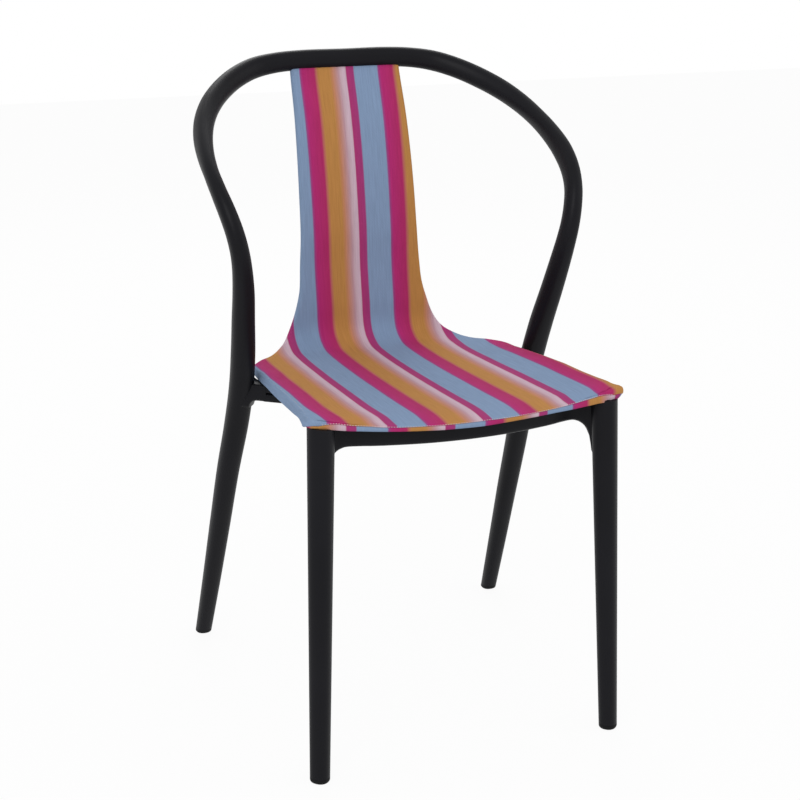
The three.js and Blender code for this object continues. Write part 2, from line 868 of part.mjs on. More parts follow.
/** A glide's cap: level rings down a leaning leg, rounded at the floor, with its plug on top. */
function glideSolid(sectionAt, grow = 0) {
  const rings = roundingShares.map((share) => {
    const height = share * glideRounding;
    const round = glideRounding - Math.sqrt(glideRounding ** 2 - (glideRounding - height) ** 2);
    return levelRing(sectionAt, height, round);
  });
  rings.push(levelRing(sectionAt, glideHeight, 0));
  const cap = solidOf(loftRings(rings));
  const way = sectionAt(glideHeight + glidePlugLength).middle.sub(sectionAt(glideHeight).middle);
  const plug = rodSolid(
    glidePlugRadius + grow,
    -glideRounding,
    glidePlugLength + grow,
    sectionAt(glideHeight).middle,
    way.normalize(),
  );
  return grow > 0 ? plug : cap.add(plug);
}

/** A leaning leg's outline at a level height, drawn in by a distance. */
function levelRing(sectionAt, height, drawnIn) {
  const section = sectionAt(height);
  const way = sectionAt(height + probe).middle.sub(section.middle);
  const ring = sectionRing(section, tubeSides);
  return ring.map((point) => {
    const level = point.clone().addScaledVector(way, (height - point.z) / way.z);
    const inward = section.middle.clone().sub(level).normalize();
    return level.addScaledVector(inward, drawnIn);
  });
}

/** The rear leg's section at a height. */
function rearLegSection(height) {
  const high = postAt(glideHeight + glidePlugLength);
  const low = loopSection(1);
  const share = height / high.middle.z;
  return {
    ...low,
    middle: low.middle.clone().lerp(high.middle, share),
    halfAcross: mix(low.halfAcross, high.halfAcross, share),
    halfUp: mix(low.halfUp, high.halfUp, share),
  };
}

const floorRoom = boxSolid(
  new THREE.Vector3(-overallWidth, -overallDepth, -overrun),
  new THREE.Vector3(overallWidth, overallDepth, glideHeight + fit),
);

// Places of the fasteners on the right-hand side
const seatBoltPlaces = {
  front: sideRailAt(frontBossShare * halfDepth),
  rear: sideRailAt(rearBossShare * halfDepth),
};
const lapMiddle = (lapStart + armEnd) / 2;
const frameBoltPlaces = {
  outer: armPlace(lapMiddle - frameBoltPitch / 2, 0),
  inner: armPlace(lapMiddle + frameBoltPitch / 2, 0),
};

/** A bolt with a domed head and a hexagon socket, its shank along the axis from the head's seat. */
function boltSolid(radius, head, headHeight, socket, length, place, axis) {
  const profile = [
    [0, -headHeight],
    [head * crownShare, -headHeight],
    [head, -headHeight * headEdgeShare],
    [head, 0],
    [radius, 0],
    [radius, length - radius / 2],
    [radius * tipShare, length],
    [0, length],
  ];
  const floor = -headHeight * socketFloorShare;
  const key = rodSolid(socket, -headHeight - overrun, floor, place, axis, socketSides);
  return turnedSolid(profile, place, axis).subtract(key);
}

/** The seat bolt's levels at a place: head seat, shank end, and the tee nut's bottom and top. */
function seatBoltLevels(place) {
  const bottom = railBottom(place.y) + seatBoltSink + seatBoltHeadHeight;
  const coreTop = seatHeight(place.x, place.y, stack.core[0]);
  const flangeTop = coreTop - teeSink;
  const barrelBottom = seatHeight(place.x, place.y, stack.core[1]) + teeLift;
  return { seat: bottom, flangeTop, barrelBottom, end: flangeTop };
}

/** The tee nut at a place, or the room it needs when grown. */
function teeNutSolid(place, grow = 0) {
  const { flangeTop, barrelBottom } = seatBoltLevels(place);
  const barrel = seatBoltRadius + fit + teeWall + grow;
  const under = flangeTop - teeFlangeThickness - grow;
  const low = barrelBottom - (grow > 0 ? coreThickness : 0);
  const high = flangeTop + (grow > 0 ? coreThickness : 0);
  const profile = [
    [0, low],
    [barrel, low],
    [barrel, under],
    [teeFlangeRadius + grow, under],
    [teeFlangeRadius + grow, high],
    [0, high],
  ];
  const axisPlace = new THREE.Vector3(place.x, place.y, 0);
  const body = turnedSolid(profile, axisPlace, up);
  if (grow > 0) {
    return body;
  }
  const bore = rodSolid(seatBoltRadius + fit, low - overrun, high + overrun, axisPlace, up);
  return body.subtract(bore);
}

/** The seat bolt at a place. */
function seatBoltSolid(place) {
  const { seat, end } = seatBoltLevels(place);
  const from = new THREE.Vector3(place.x, place.y, seat);
  return boltSolid(
    seatBoltRadius,
    seatBoltHeadRadius,
    seatBoltHeadHeight,
    seatBoltSocket,
    end - seat,
    from,
    up,
  );
}

/** The room a seat bolt needs: its counterbore and its clearance hole. */
function seatBoltRoom(place) {
  const { seat, end } = seatBoltLevels(place);
  const from = new THREE.Vector3(place.x, place.y, seat + fit);
  const counterbore = rodSolid(seatBoltHeadRadius + fit, -overrun, 0, from, up);
  return counterbore.add(rodSolid(seatBoltRadius + fit, -fit, end - seat, from, up));
}

// The frame bolt's levels: the seat of its head and the end of its shank
const frameBoltSeat = lapBottom + frameBoltHeadHeight + fit;
const frameBoltEnd = lapTop - frameBoltRadius / 2;

/** A frame bolt at a place. */
function frameBoltSolid(place) {
  const from = new THREE.Vector3(place.x, place.y, frameBoltSeat);
  return boltSolid(
    frameBoltRadius,
    frameBoltHeadRadius,
    frameBoltHeadHeight,
    frameBoltSocket,
    frameBoltEnd - frameBoltSeat,
    from,
    up,
  );
}

/** A threaded insert at a place in the seat frame's pad, or the hole it sits in when grown. */
function insertSolid(place, grow = 0) {
  const from = new THREE.Vector3(place.x, place.y, 0);
  const outer = frameBoltRadius + fit + insertWall + grow;
  const low = lapSplit + fit / 2 + (grow > 0 ? -overrun : fit);
  const high = grow > 0 ? lapTop + overrun : lapTop - fit;
  const body = rodSolid(outer, low, high, from, up);
  if (grow > 0) {
    return body;
  }
  return body.subtract(rodSolid(frameBoltRadius + fit, low - overrun, high + overrun, from, up));
}

/** The room a frame bolt needs in the stub arm. */
function frameBoltRoom(place) {
  const from = new THREE.Vector3(place.x, place.y, frameBoltSeat + fit);
  const counterbore = rodSolid(frameBoltHeadRadius + fit, -overrun, 0, from, up);
  return counterbore.add(rodSolid(frameBoltRadius + fit, -fit, overrun, from, up));
}

// Screws through the rear of the top rail into the back's core
const screwRow = profileAt(profileLength - backScrewInset);
const screwAxis = new THREE.Vector3(0, screwRow.normal.x, screwRow.normal.y);
const screwTip = new THREE.Vector3(
  backScrewSpacing / 2,
  screwRow.y - screwRow.normal.x * (stack.core[1] - backScrewEngagement),
  screwRow.z - screwRow.normal.y * (stack.core[1] - backScrewEngagement),
);
const railAxis = screwTip.clone().sub(new THREE.Vector3(screwTip.x, topRail.middle.y, topRail.middle.z));
const screwReach = topRail.cross + railAxis.dot(screwAxis) - backScrewSink;

/** A back screw on one side, its head sunk in the rear of the top rail. */
function backScrewSolid() {
  const seat = screwTip.clone().addScaledVector(screwAxis, -(screwReach - backScrewHeadHeight));
  const length = screwReach - backScrewHeadHeight;
  return boltSolid(
    backScrewRadius,
    backScrewHeadRadius,
    backScrewHeadHeight,
    backScrewRadius * crownShare,
    length,
    seat,
    screwAxis,
  );
}

/** The room a back screw needs in the rail and the core. */
function backScrewRoom() {
  const seat = screwTip.clone().addScaledVector(screwAxis, -(screwReach - backScrewHeadHeight));
  const length = screwReach - backScrewHeadHeight + fit;
  const counterbore = rodSolid(backScrewHeadRadius + fit, -overrun, fit, seat, screwAxis);
  return counterbore.add(rodSolid(backScrewRadius + fit, 0, length, seat, screwAxis));
}

// Back frame: top rail, arms, posts, rear legs and stub arms in one moulding
const loopSteps = (loopRows.length - 1) * stepsPerShare;
const loopSections = Array.from({ length: loopSteps + 1 }, (_, i) => loopSection(i / loopSteps));
let backFrame = sweptSolid(loopSections, tubeSides).add(bothSides(armSolid));
const rearGlide = glideSolid(rearLegSection);
const rearGlideRoom = glideSolid(rearLegSection, fit);
const frontGlide = glideSolid(legSection);
const frontGlideRoom = glideSolid(legSection, fit);
for (const room of [
  bothSides(rearGlideRoom),
  floorRoom,
  softSlot,
  coreSlot,
  bothSides(backScrewRoom()),
  bothSides(frameBoltRoom(frameBoltPlaces.outer)),
  bothSides(frameBoltRoom(frameBoltPlaces.inner)),
]) {
  backFrame = backFrame.subtract(room);
}
addPiece("back_frame", backFrame, plastic);

// Seat frame: front legs, rails, bolt bosses and lap pads in one moulding
const legCut = seatHeight(0, legTop.y, stackDepth + fit + lipDrop);
const bosses = Object.values(seatBoltPlaces).map((place) => (
  rodSolid(
    bossRadius,
    railBottom(place.y),
    seatFrontHeight,
    new THREE.Vector3(place.x, place.y, 0),
    up,
  )
));
const legSections = Array.from({ length: legSteps + 1 }, (_, i) => legSection((i / legSteps) * legCut));
let seatFrame = bothSides(sweptSolid(legSections, tubeSides).add(lapUpper))
  .add(railSolid(frontRailCurve, frontRailSteps))
  .add(railSolid(sideRailCurve, sideRailSteps));
for (const boss of bosses) {
  seatFrame = seatFrame.add(bothSides(boss));
}
for (const room of [
  seatRoom,
  floorRoom,
  bothSides(frontGlideRoom),
  bothSides(seatBoltRoom(seatBoltPlaces.front)),
  bothSides(seatBoltRoom(seatBoltPlaces.rear)),
  bothSides(insertSolid(frameBoltPlaces.outer, fit)),
  bothSides(insertSolid(frameBoltPlaces.inner, fit)),
]) {
  seatFrame = seatFrame.subtract(room);
}
addPiece("seat_frame", seatFrame, plastic);

// Seat: core, foam, cover, edge band and underside liner
const boltRooms = Object.values(seatBoltPlaces)
  .map((place) => bothSides(seatBoltRoom(place)))
  .reduce((all, room) => all.add(room));
const nutRooms = Object.values(seatBoltPlaces)
  .map((place) => bothSides(teeNutSolid(place, fit)))
  .reduce((all, room) => all.add(room));
addPiece("seat_core", coreSolid.subtract(nutRooms).subtract(bothSides(backScrewRoom())), corePlastic);
addPiece("seat_foam", foamSolid, foam);
addPiece("seat_cover", coverSolid, fabric);
addPiece("edge_band", bandSolid, fabric);
addPiece("underside_liner", linerSolid.subtract(boltRooms), lining);

// Pieces that come in mirrored pairs
const pairs = [
  ["front_glide", frontGlide, glideNylon],
  ["rear_glide", rearGlide, glideNylon],
  ["seat_bolt_front", seatBoltSolid(seatBoltPlaces.front), zinc],
  ["seat_bolt_rear", seatBoltSolid(seatBoltPlaces.rear), zinc],
  ["tee_nut_front", teeNutSolid(seatBoltPlaces.front), zinc],
  ["tee_nut_rear", teeNutSolid(seatBoltPlaces.rear), zinc],
  ["frame_bolt_outer", frameBoltSolid(frameBoltPlaces.outer), zinc],
  ["frame_bolt_inner", frameBoltSolid(frameBoltPlaces.inner), zinc],
  ["insert_outer", insertSolid(frameBoltPlaces.outer), zinc],
  ["insert_inner", insertSolid(frameBoltPlaces.inner), zinc],
  ["back_screw", backScrewSolid(), zinc],
];
for (const [name, solid, material] of pairs) {
  addPiece(`${name}_right`, solid, material);
  addPiece(`${name}_left`, solid.mirror([1, 0, 0]), material);
}

export default group;
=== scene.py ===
"""Patio chair: a moulded black frame carries a thin seat shell dressed in striped cloth.

Sizes inside the classes are millimetres in the chair's own frame: +Z up, the sitter faces -Y and
the origin is on the floor under the middle. Meshes are in metres.
"""

from __future__ import annotations

import logging
import math
from bisect import bisect_left, bisect_right
from collections.abc import Callable, Sequence
from dataclasses import dataclass, replace
from enum import Enum
from functools import cache
from itertools import accumulate

import bmesh
import bpy
from bmesh.types import BMesh
from bpy.types import ID, Material, Mesh, Node, NodeSocket, Object, World
from mathutils import Matrix, Quaternion, Vector, noise

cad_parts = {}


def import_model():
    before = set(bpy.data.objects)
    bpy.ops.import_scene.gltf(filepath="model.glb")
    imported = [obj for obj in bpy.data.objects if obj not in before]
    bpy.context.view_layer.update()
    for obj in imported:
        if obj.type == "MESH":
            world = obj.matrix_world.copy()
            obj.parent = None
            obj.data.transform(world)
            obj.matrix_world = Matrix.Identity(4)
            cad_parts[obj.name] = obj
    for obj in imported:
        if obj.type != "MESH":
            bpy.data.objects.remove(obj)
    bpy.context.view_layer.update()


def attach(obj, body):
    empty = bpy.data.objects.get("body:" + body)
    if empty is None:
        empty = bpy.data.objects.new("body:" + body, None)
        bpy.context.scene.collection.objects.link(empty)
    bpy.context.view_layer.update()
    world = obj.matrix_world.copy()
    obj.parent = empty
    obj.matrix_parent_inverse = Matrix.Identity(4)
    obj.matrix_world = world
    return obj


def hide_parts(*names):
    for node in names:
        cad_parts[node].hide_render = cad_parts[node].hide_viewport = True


LOG = logging.getLogger("patio_chair")
MM = 0.001
BODY = "root"
UP = Vector((0, 0, 1))
FLIP = Vector((-1, 1, 1))
# half of the chair's depth, and of the seat's width at its front corners
HALF_DEPTH = 255.5
CORNER_HALF = 207.4
# edges sharper than this stay sharp, in degrees, unless a piece says otherwise
SHARP = 35.0
# vertices closer than this are one, in metres
WELD = 1e-7

Pair = tuple[float, float]
Triple = tuple[float, float, float]
Table = tuple[tuple[float, ...], ...]
# radius, start, end, place and axis of a round room
Room = tuple[float, float, float, Vector, Vector]


class Side(Enum):
    """Which half of the chair a piece is on, seen from the front."""

    RIGHT = 1
    LEFT = -1

    @property
    def way(self) -> Vector:
        """What a right-hand place is multiplied by to put it on this side."""
        return Vector((self.value, 1, 1))


class Slot(Enum):
    """Names of the record's material slots."""

    FRAME = "frame_plastic"
    GLIDE = "glide_nylon"
    CORE = "core_plastic"
    FOAM = "foam"
    CLOTH = "striped_fabric"
    LINING = "lining"
    ZINC = "zinc_steel"
    BRASS = "insert_brass"


def mix(start: float, end: float, share: float) -> float:
    """Returns the number, or the vector, at a share of the way between two others."""
    return start + (end - start) * share


def clamp(value: float, low: float = 0.0, high: float = 1.0) -> float:
    """Returns a value held between two limits."""
    return min(max(value, low), high)


def ease(value: float) -> float:
    """Returns a smooth step from 0 to 1."""
    share = clamp(value)
    return share * share * (3 - 2 * share)


def superellipse(angle: float, power: float) -> Pair:
    """Returns a rounded square's point at an angle; a power of 2 is round, more is squarer."""
    c, s = math.cos(angle), math.sin(angle)
    return math.copysign(abs(c) ** (2 / power), c), math.copysign(abs(s) ** (2 / power), s)


def quarter(share: float) -> Pair:
    """Returns the sine and cosine at a share of a quarter turn."""
    return math.sin(share * math.pi / 2), math.cos(share * math.pi / 2)


def between(share: float, count: int) -> tuple[int, float]:
    """Finds a place in a list of rows.

    Args:
        share: The share of the list's run, from 0 to 1.
        count: How many rows it has.

    Returns:
        The row before the place, and how far beyond that row it is.
    """
    place = clamp(share) * (count - 1)
    first = min(int(place), count - 2)
    return first, place - first


def last_place(low: float, high: float, holds: Callable[[float], bool]) -> float:
    """Halves a span until it finds the last place at which something still holds.

    Args:
        low: The span's start, where it holds.
        high: The span's end, where it doesn't.
        holds: Tells whether it holds at a place.

    Returns:
        The place.
    """
    for _ in range(40):
        middle = (low + high) / 2
        low, high = (middle, high) if holds(middle) else (low, middle)
    return low


def running(spots: Sequence[Sequence[float]]) -> list[float]:
    """Returns how far along a line of points each of them lies."""
    return [0.0, *accumulate(math.dist(a, b) for a, b in zip(spots, spots[1:]))]


class SmoothPath:
    """An open centripetal Catmull-Rom curve through points."""

    def __init__(self, points: Sequence[Vector]) -> None:
        """Keeps the points and a point beyond each end."""
        self.points = [Vector(p) for p in points]
        first = self.points[0] * 2 - self.points[1]
        last = self.points[-1] * 2 - self.points[-2]
        self._padded = [first, *self.points, last]

    def at(self, share: float) -> Vector:
        """Returns the curve's point at a share of its row of points."""
        i, t = between(share, len(self.points))
        p0, p1, p2, p3 = self._padded[i : i + 4]
        d0, d1, d2 = ((b - a).length ** 0.5 for a, b in ((p0, p1), (p1, p2), (p2, p3)))
        m1 = ((p1 - p0) / d0 - (p2 - p0) / (d0 + d1) + (p2 - p1) / d1) * d1
        m2 = ((p2 - p1) / d1 - (p3 - p1) / (d1 + d2) + (p3 - p2) / d2) * d1
        bend = (p2 * 3 - p1 * 3 - m1 * 2 - m2) * t**2 + (p1 * 2 - p2 * 2 + m1 + m2) * t**3
        return p1 + m1 * t + bend

    def tangent(self, share: float) -> Vector:
        """Returns the unit direction of the curve at a share of its points."""
        step = 0.0001
        return (self.at(share + step) - self.at(share - step)).normalized()

    def even_shares(self, steps: int) -> list[float]:
        """Finds shares that are evenly far apart along the curve.

        Args:
            steps: How many steps to divide the curve into.

        Returns:
            One more share than there are steps.
        """
        fine = 40 * len(self.points)
        spots = [self.at(k / fine) for k in range(fine + 1)]
        runs = running(spots)
        shares = []
        for n in range(steps + 1):
            goal = runs[-1] * n / steps
            k = max(min(bisect_left(runs, goal), fine) - 1, 0)
            step = (goal - runs[k]) / max(runs[k + 1] - runs[k], 1e-9)
            shares.append((k + clamp(step)) / fine)
        return shares


@dataclass(frozen=True)
class BarSection:
    """One section of a moulded bar."""

    middle: Vector
    across: Vector
    up: Vector
    half_across: float
    half_up: float
    power: float

    def point(self, angle: float) -> Vector:
        """Returns the section's point at an angle, in millimetres."""
        c, s = superellipse(angle, self.power)
        return self.middle + self.across * (c * self.half_across) + self.up * (s * self.half_up)


def bend_grid(
    bm: BMesh,
    columns: int,
    rows: int,
    place: Callable[[int, int], Vector],
    cloth: Callable[[int, int], Pair] | None = None,
) -> None:
    """Adds a grid to a bmesh and bends it to a form.

    Args:
        bm: The bmesh to add to.
        columns: Steps across.
        rows: Steps along.
        place: Gives a corner's place in millimetres from its column and row.
        cloth: Gives a corner's place on the flat cloth in millimetres, for the UV map.
    """
    made = bmesh.ops.create_grid(bm, x_segments=columns, y_segments=rows, size=1)["verts"]
    spots = {v: (round((v.co.x + 1) / 2 * columns), round((v.co.y + 1) / 2 * rows)) for v in made}
    if cloth:
        layer = bm.loops.layers.uv.verify()
        for face in {f for v in made for f in v.link_faces}:
            for loop in face.loops:
                loop[layer].uv = [MM * c for c in cloth(*spots[loop.vert])]
    for vert, spot in spots.items():
        vert.co = place(*spot) * MM


def bend_tube(bm: BMesh, columns: int, rows: int, place: Callable[[int, int], Vector]) -> None:
    """Adds a grid that is bent round into a tube with closed ends.

    Args:
        bm: The bmesh to add to.
        columns: Steps round it.
        rows: Steps along.
        place: Gives a corner's place in millimetres from its column and row.
    """
    before = set(bm.verts)
    bend_grid(bm, columns, rows, place)
    bmesh.ops.remove_doubles(bm, verts=[v for v in bm.verts if v not in before], dist=WELD)
    edges = [e for e in bm.edges if e.is_boundary and e.verts[0] not in before]
    bmesh.ops.holes_fill(bm, edges=edges, sides=0)


def sweep_bar(bm: BMesh, sections: Sequence[BarSection], sides: int) -> None:
    """Adds a bar with closed ends, swept through sections, to a bmesh.

    Args:
        bm: The bmesh to add to.
        sections: The sections, from one end to the other.
        sides: How many steps go round it.
    """
    turn = 2 * math.pi / sides
    bend_tube(bm, sides, len(sections) - 1, lambda i, j: sections[j].point(turn * i))


def spin_profile(bm: BMesh, profile: Sequence[Pair], place: Vector, axis: Vector = UP) -> None:
    """Adds a turned body to a bmesh.

    Args:
        bm: The bmesh to add to.
        profile: Radius and height pairs, starting and ending on the axis.
        place: Where the profile's zero height is, in millimetres.
        axis: The direction of its heights.
    """
    up = axis.normalized()
    out = up.orthogonal().normalized()
    before = set(bm.verts)
    verts = [bm.verts.new((place + out * r + up * h) * MM) for r, h in profile]
    edges = [bm.edges.new(pair) for pair in zip(verts, verts[1:])]
    turn = {"angle": 2 * math.pi, "steps": 40, "use_merge": True, "use_duplicate": False}
    bmesh.ops.spin(bm, geom=[*verts, *edges], cent=place * MM, axis=up, **turn)
    bmesh.ops.remove_doubles(bm, verts=[v for v in bm.verts if v not in before], dist=WELD)


def add_object(name: str, data: ID) -> Object:
    """Puts a new object in the scene."""
    thing = bpy.data.objects.new(name, data)
    bpy.context.scene.collection.objects.link(thing)
    return thing


def as_mesh(name: str, bm: BMesh) -> Mesh:
    """Returns a bmesh as a mesh, and frees it."""
    mesh = bpy.data.meshes.new(name)
    bm.to_mesh(mesh)
    bm.free()
    return mesh


def shade(mesh: Mesh, sharp_angle: float) -> None:
    """Shades a mesh smooth, but for the edges sharper than an angle in degrees."""
    mesh.shade_smooth()
    mesh.set_sharp_from_angle(angle=math.radians(sharp_angle))


def finish_piece(
    name: str,
    bm: BMesh,
    finish: Finish,
    replaces: Sequence[str] = (),
    sharp_angle: float = SHARP,
) -> Object:
    """Turns a bmesh into a finished piece of the chair.

    Args:
        name: The piece's name.
        bm: Its bmesh, which is freed.
        finish: Its finish.
        replaces: The CAD nodes that it stands for.
        sharp_angle: Edges sharper than this, in degrees, stay sharp.

    Returns:
        The new object.
    """
    bmesh.ops.recalc_face_normals(bm, faces=bm.faces)
    piece = add_object(name, as_mesh(name, bm))
    shade(piece.data, sharp_angle)
    piece.data.materials.append(made(finish))
    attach(piece, BODY)
    if replaces:
        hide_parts(*replaces)
    LOG.info("%s: %d faces", name, len(piece.data.polygons))
    return piece


def carve(piece: Object, cutter: BMesh) -> None:
    """Joins a piece's own overlapping bars and cuts shapes out of it.

    Args:
        piece: The piece to carve.
        cutter: What is cut out, as a bmesh, which is freed.
    """
    bmesh.ops.recalc_face_normals(cutter, faces=cutter.faces)
    tool = add_object("cutter", as_mesh("cutter", cutter))
    cut = piece.modifiers.new("cut", "BOOLEAN")
    cut.operation = "DIFFERENCE"
    cut.solver = "EXACT"
    cut.use_self = True
    cut.object = tool
    bpy.context.view_layer.update()
    shaped = piece.evaluated_get(bpy.context.evaluated_depsgraph_get())
    done = bpy.data.meshes.new_from_object(shaped)
    piece.modifiers.remove(cut)
    old = piece.data
    piece.data = done
    done.name = piece.name
    bpy.data.meshes.remove(old)
    bpy.data.objects.remove(tool)
    shade(done, SHARP)
    LOG.info("%s: %d faces once carved", piece.name, len(done.polygons))


class NodeBench:
    """Builds the node tree of a material or of the surroundings."""

    def __init__(self, owner: Material | World, output: str) -> None:
        """Empties the tree of a material or of the surroundings and adds its output."""
        owner.use_nodes = True
        self.tree = owner.node_tree
        self.tree.nodes.clear()
        self.output = self.add(output)

    def add(self, kind: str, inputs: dict[str, object] | None = None, **values: object) -> Node:
        """Adds a node.

        Args:
            kind: The node's type, without its prefix.
            inputs: The values of its inputs by name.
            **values: Its properties by name.

        Returns:
            The node.
        """
        node = self.tree.nodes.new(f"ShaderNode{kind}")
        for key, value in values.items():
            setattr(node, key, value)
        for key, value in (inputs or {}).items():
            node.inputs[key].default_value = value
        return node

    def link(self, source: Node | NodeSocket, target: Node, socket: str | int = 0) -> None:
        """Joins an output, or a node's first one, to an input of another node."""
        start = source.outputs[0] if isinstance(source, Node) else source
        self.tree.links.new(start, target.inputs[socket])

    def coordinates(self, kind: str, scale: Triple) -> Node:
        """Adds a scaled coordinate.

        Args:
            kind: The texture coordinate's output, such as Object or UV.
            scale: The scale along each axis.

        Returns:
            The mapping node.
        """
        mapping = self.add("Mapping", {"Scale": scale})
        self.link(self.add("TexCoord").outputs[kind], mapping, "Vector")
        return mapping

    def texture(self, texture: str, kind: str, scale: Triple, **inputs: float) -> Node:
        """Adds a texture on a scaled coordinate.

        Args:
            texture: The texture node's type.
            kind: The texture coordinate's output.
            scale: The scale along each axis.
            **inputs: The values of its inputs by name.

        Returns:
            The texture node.
        """
        node = self.add(texture, {"Scale": 1.0, **inputs})
        self.link(self.coordinates(kind, scale), node, "Vector")
        return node

    def math(self, operation: str, first: object, second: object = None) -> Node:
        """Adds a math node.

        Args:
            operation: Its operation.
            first: A node, an output or a number.
            second: The same for the second input.

        Returns:
            The node.
        """
        node = self.add("Math", operation=operation)
        for index, value in enumerate((first, second)):
            if isinstance(value, (Node, NodeSocket)):
                self.link(value, node, index)
            elif value is not None:
                node.inputs[index].default_value = value
        return node

    def spread(self, source: Node, values: Pair, span: Pair = (0.0, 1.0)) -> Node:
        """Adds a node that maps another's output to a span of values.

        Args:
            source: The other node.
            values: The least and greatest value.
            span: The outputs that give them.

        Returns:
            The node.
        """
        names = ("To Min", "To Max", "From Min", "From Max")
        node = self.add("MapRange", dict(zip(names, (*values, *span))))
        self.link(source, node, "Value")
        return node

    def blend(self, share: Node, first: Node, second: Node) -> None:
        """Sends a mix of two shaders to the output."""
        node = self.add("MixShader")
        for index, source in enumerate((share, first, second)):
            self.link(source, node, index)
        self.link(node, self.output, "Surface")


class Surface(NodeBench):
    """Builds one material round a surface shader."""

    def __init__(self, name: str, **inputs: float | Sequence[float]) -> None:
        """Makes the material; names of the shader's inputs have underscores for spaces."""
        self.material = bpy.data.materials.new(name)
        super().__init__(self.material, "OutputMaterial")
        values = {key.replace("_", " "): value for key, value in inputs.items()}
        self.shader = self.add("BsdfPrincipled", values)
        self.link(self.shader, self.output, "Surface")

    def tint(self, source: Node, colour: Triple, shades: Pair, span: Pair = (0.0, 1.0)) -> None:
        """Colours the surface by a node's output.

        Args:
            source: The node.
            colour: The middle colour.
            shades: What the colour is multiplied by at the low and the high end.
            span: The outputs at those ends.
        """
        ramp = self.add("ValToRGB")
        for element, place, factor in zip(ramp.color_ramp.elements, span, shades):
            element.position, element.color = place, (*[c * factor for c in colour], 1)
        self.link(source, ramp)
        self.link(ramp, self.shader, "Base Color")

    def bump(self, height: Node, depth: float, strength: float) -> None:
        """Gives the surface a bump.

        Args:
            height: The node whose first output is the height.
            depth: The height's size in millimetres.
            strength: How strong it is, up to 1.
        """
        node = self.add("Bump", {"Distance": depth * MM, "Strength": strength})
        self.link(height, node, "Height")
        self.link(node, self.shader, "Normal")


@dataclass(frozen=True)
class Plastic:
    """A moulded plastic with a fine spark-eroded grain."""

    name: str
    slot: Slot
    colour: Triple
    roughness: float
    gloss: float = 0.12
    grain: float = 0.9
    grain_depth: float = 0.03
    variation: float = 0.15

    def material(self) -> Material:
        """Returns the material."""
        bench = Surface(self.name, Specular_IOR_Level=self.gloss)
        grain = bench.texture("TexNoise", "Object", (1 / (self.grain * MM),) * 3, Detail=2.0)
        cloud = bench.texture("TexNoise", "Object", (9.0, 9.0, 9.0), Detail=3.0)
        bench.tint(cloud, self.colour, (1 - self.variation, 1 + self.variation), (0.3, 0.7))
        sheen = bench.spread(cloud, (self.roughness - 0.05, self.roughness + 0.05))
        bench.link(sheen, bench.shader, "Roughness")
        bench.bump(grain, self.grain_depth, 0.5)
        return bench.material


@dataclass(frozen=True)
class Metal:
    """A plated or plain metal with fine scratches."""

    name: str
    slot: Slot
    colour: Triple
    roughness: float

    def material(self) -> Material:
        """Returns the material."""
        bench = Surface(self.name, Metallic=1.0)
        cloud = bench.texture("TexNoise", "Object", (600.0, 600.0, 600.0), Detail=4.0)
        bench.tint(cloud, self.colour, (0.8, 1.0), (0.25, 0.8))
        worn = bench.spread(cloud, (self.roughness - 0.08, self.roughness + 0.12))
        bench.link(worn, bench.shader, "Roughness")
        bench.bump(cloud, 0.01, 0.3)
        return bench.material


@dataclass(frozen=True)
class Felt:
    """A cloth without stripes: non-woven lining, foam or thread."""

    name: str
    slot: Slot
    colour: Triple
    grain: float
    grain_depth: float
    variation: float = 0.2

    def material(self) -> Material:
        """Returns the material."""
        bench = Surface(self.name, Roughness=0.9, Specular_IOR_Level=0.2)
        fibres = bench.texture("TexVoronoi", "Object", (1 / (self.grain * MM),) * 3)
        bench.tint(fibres, self.colour, (1 + self.variation, 1 - self.variation))
        bench.bump(fibres, self.grain_depth, 0.6)
        return bench.material


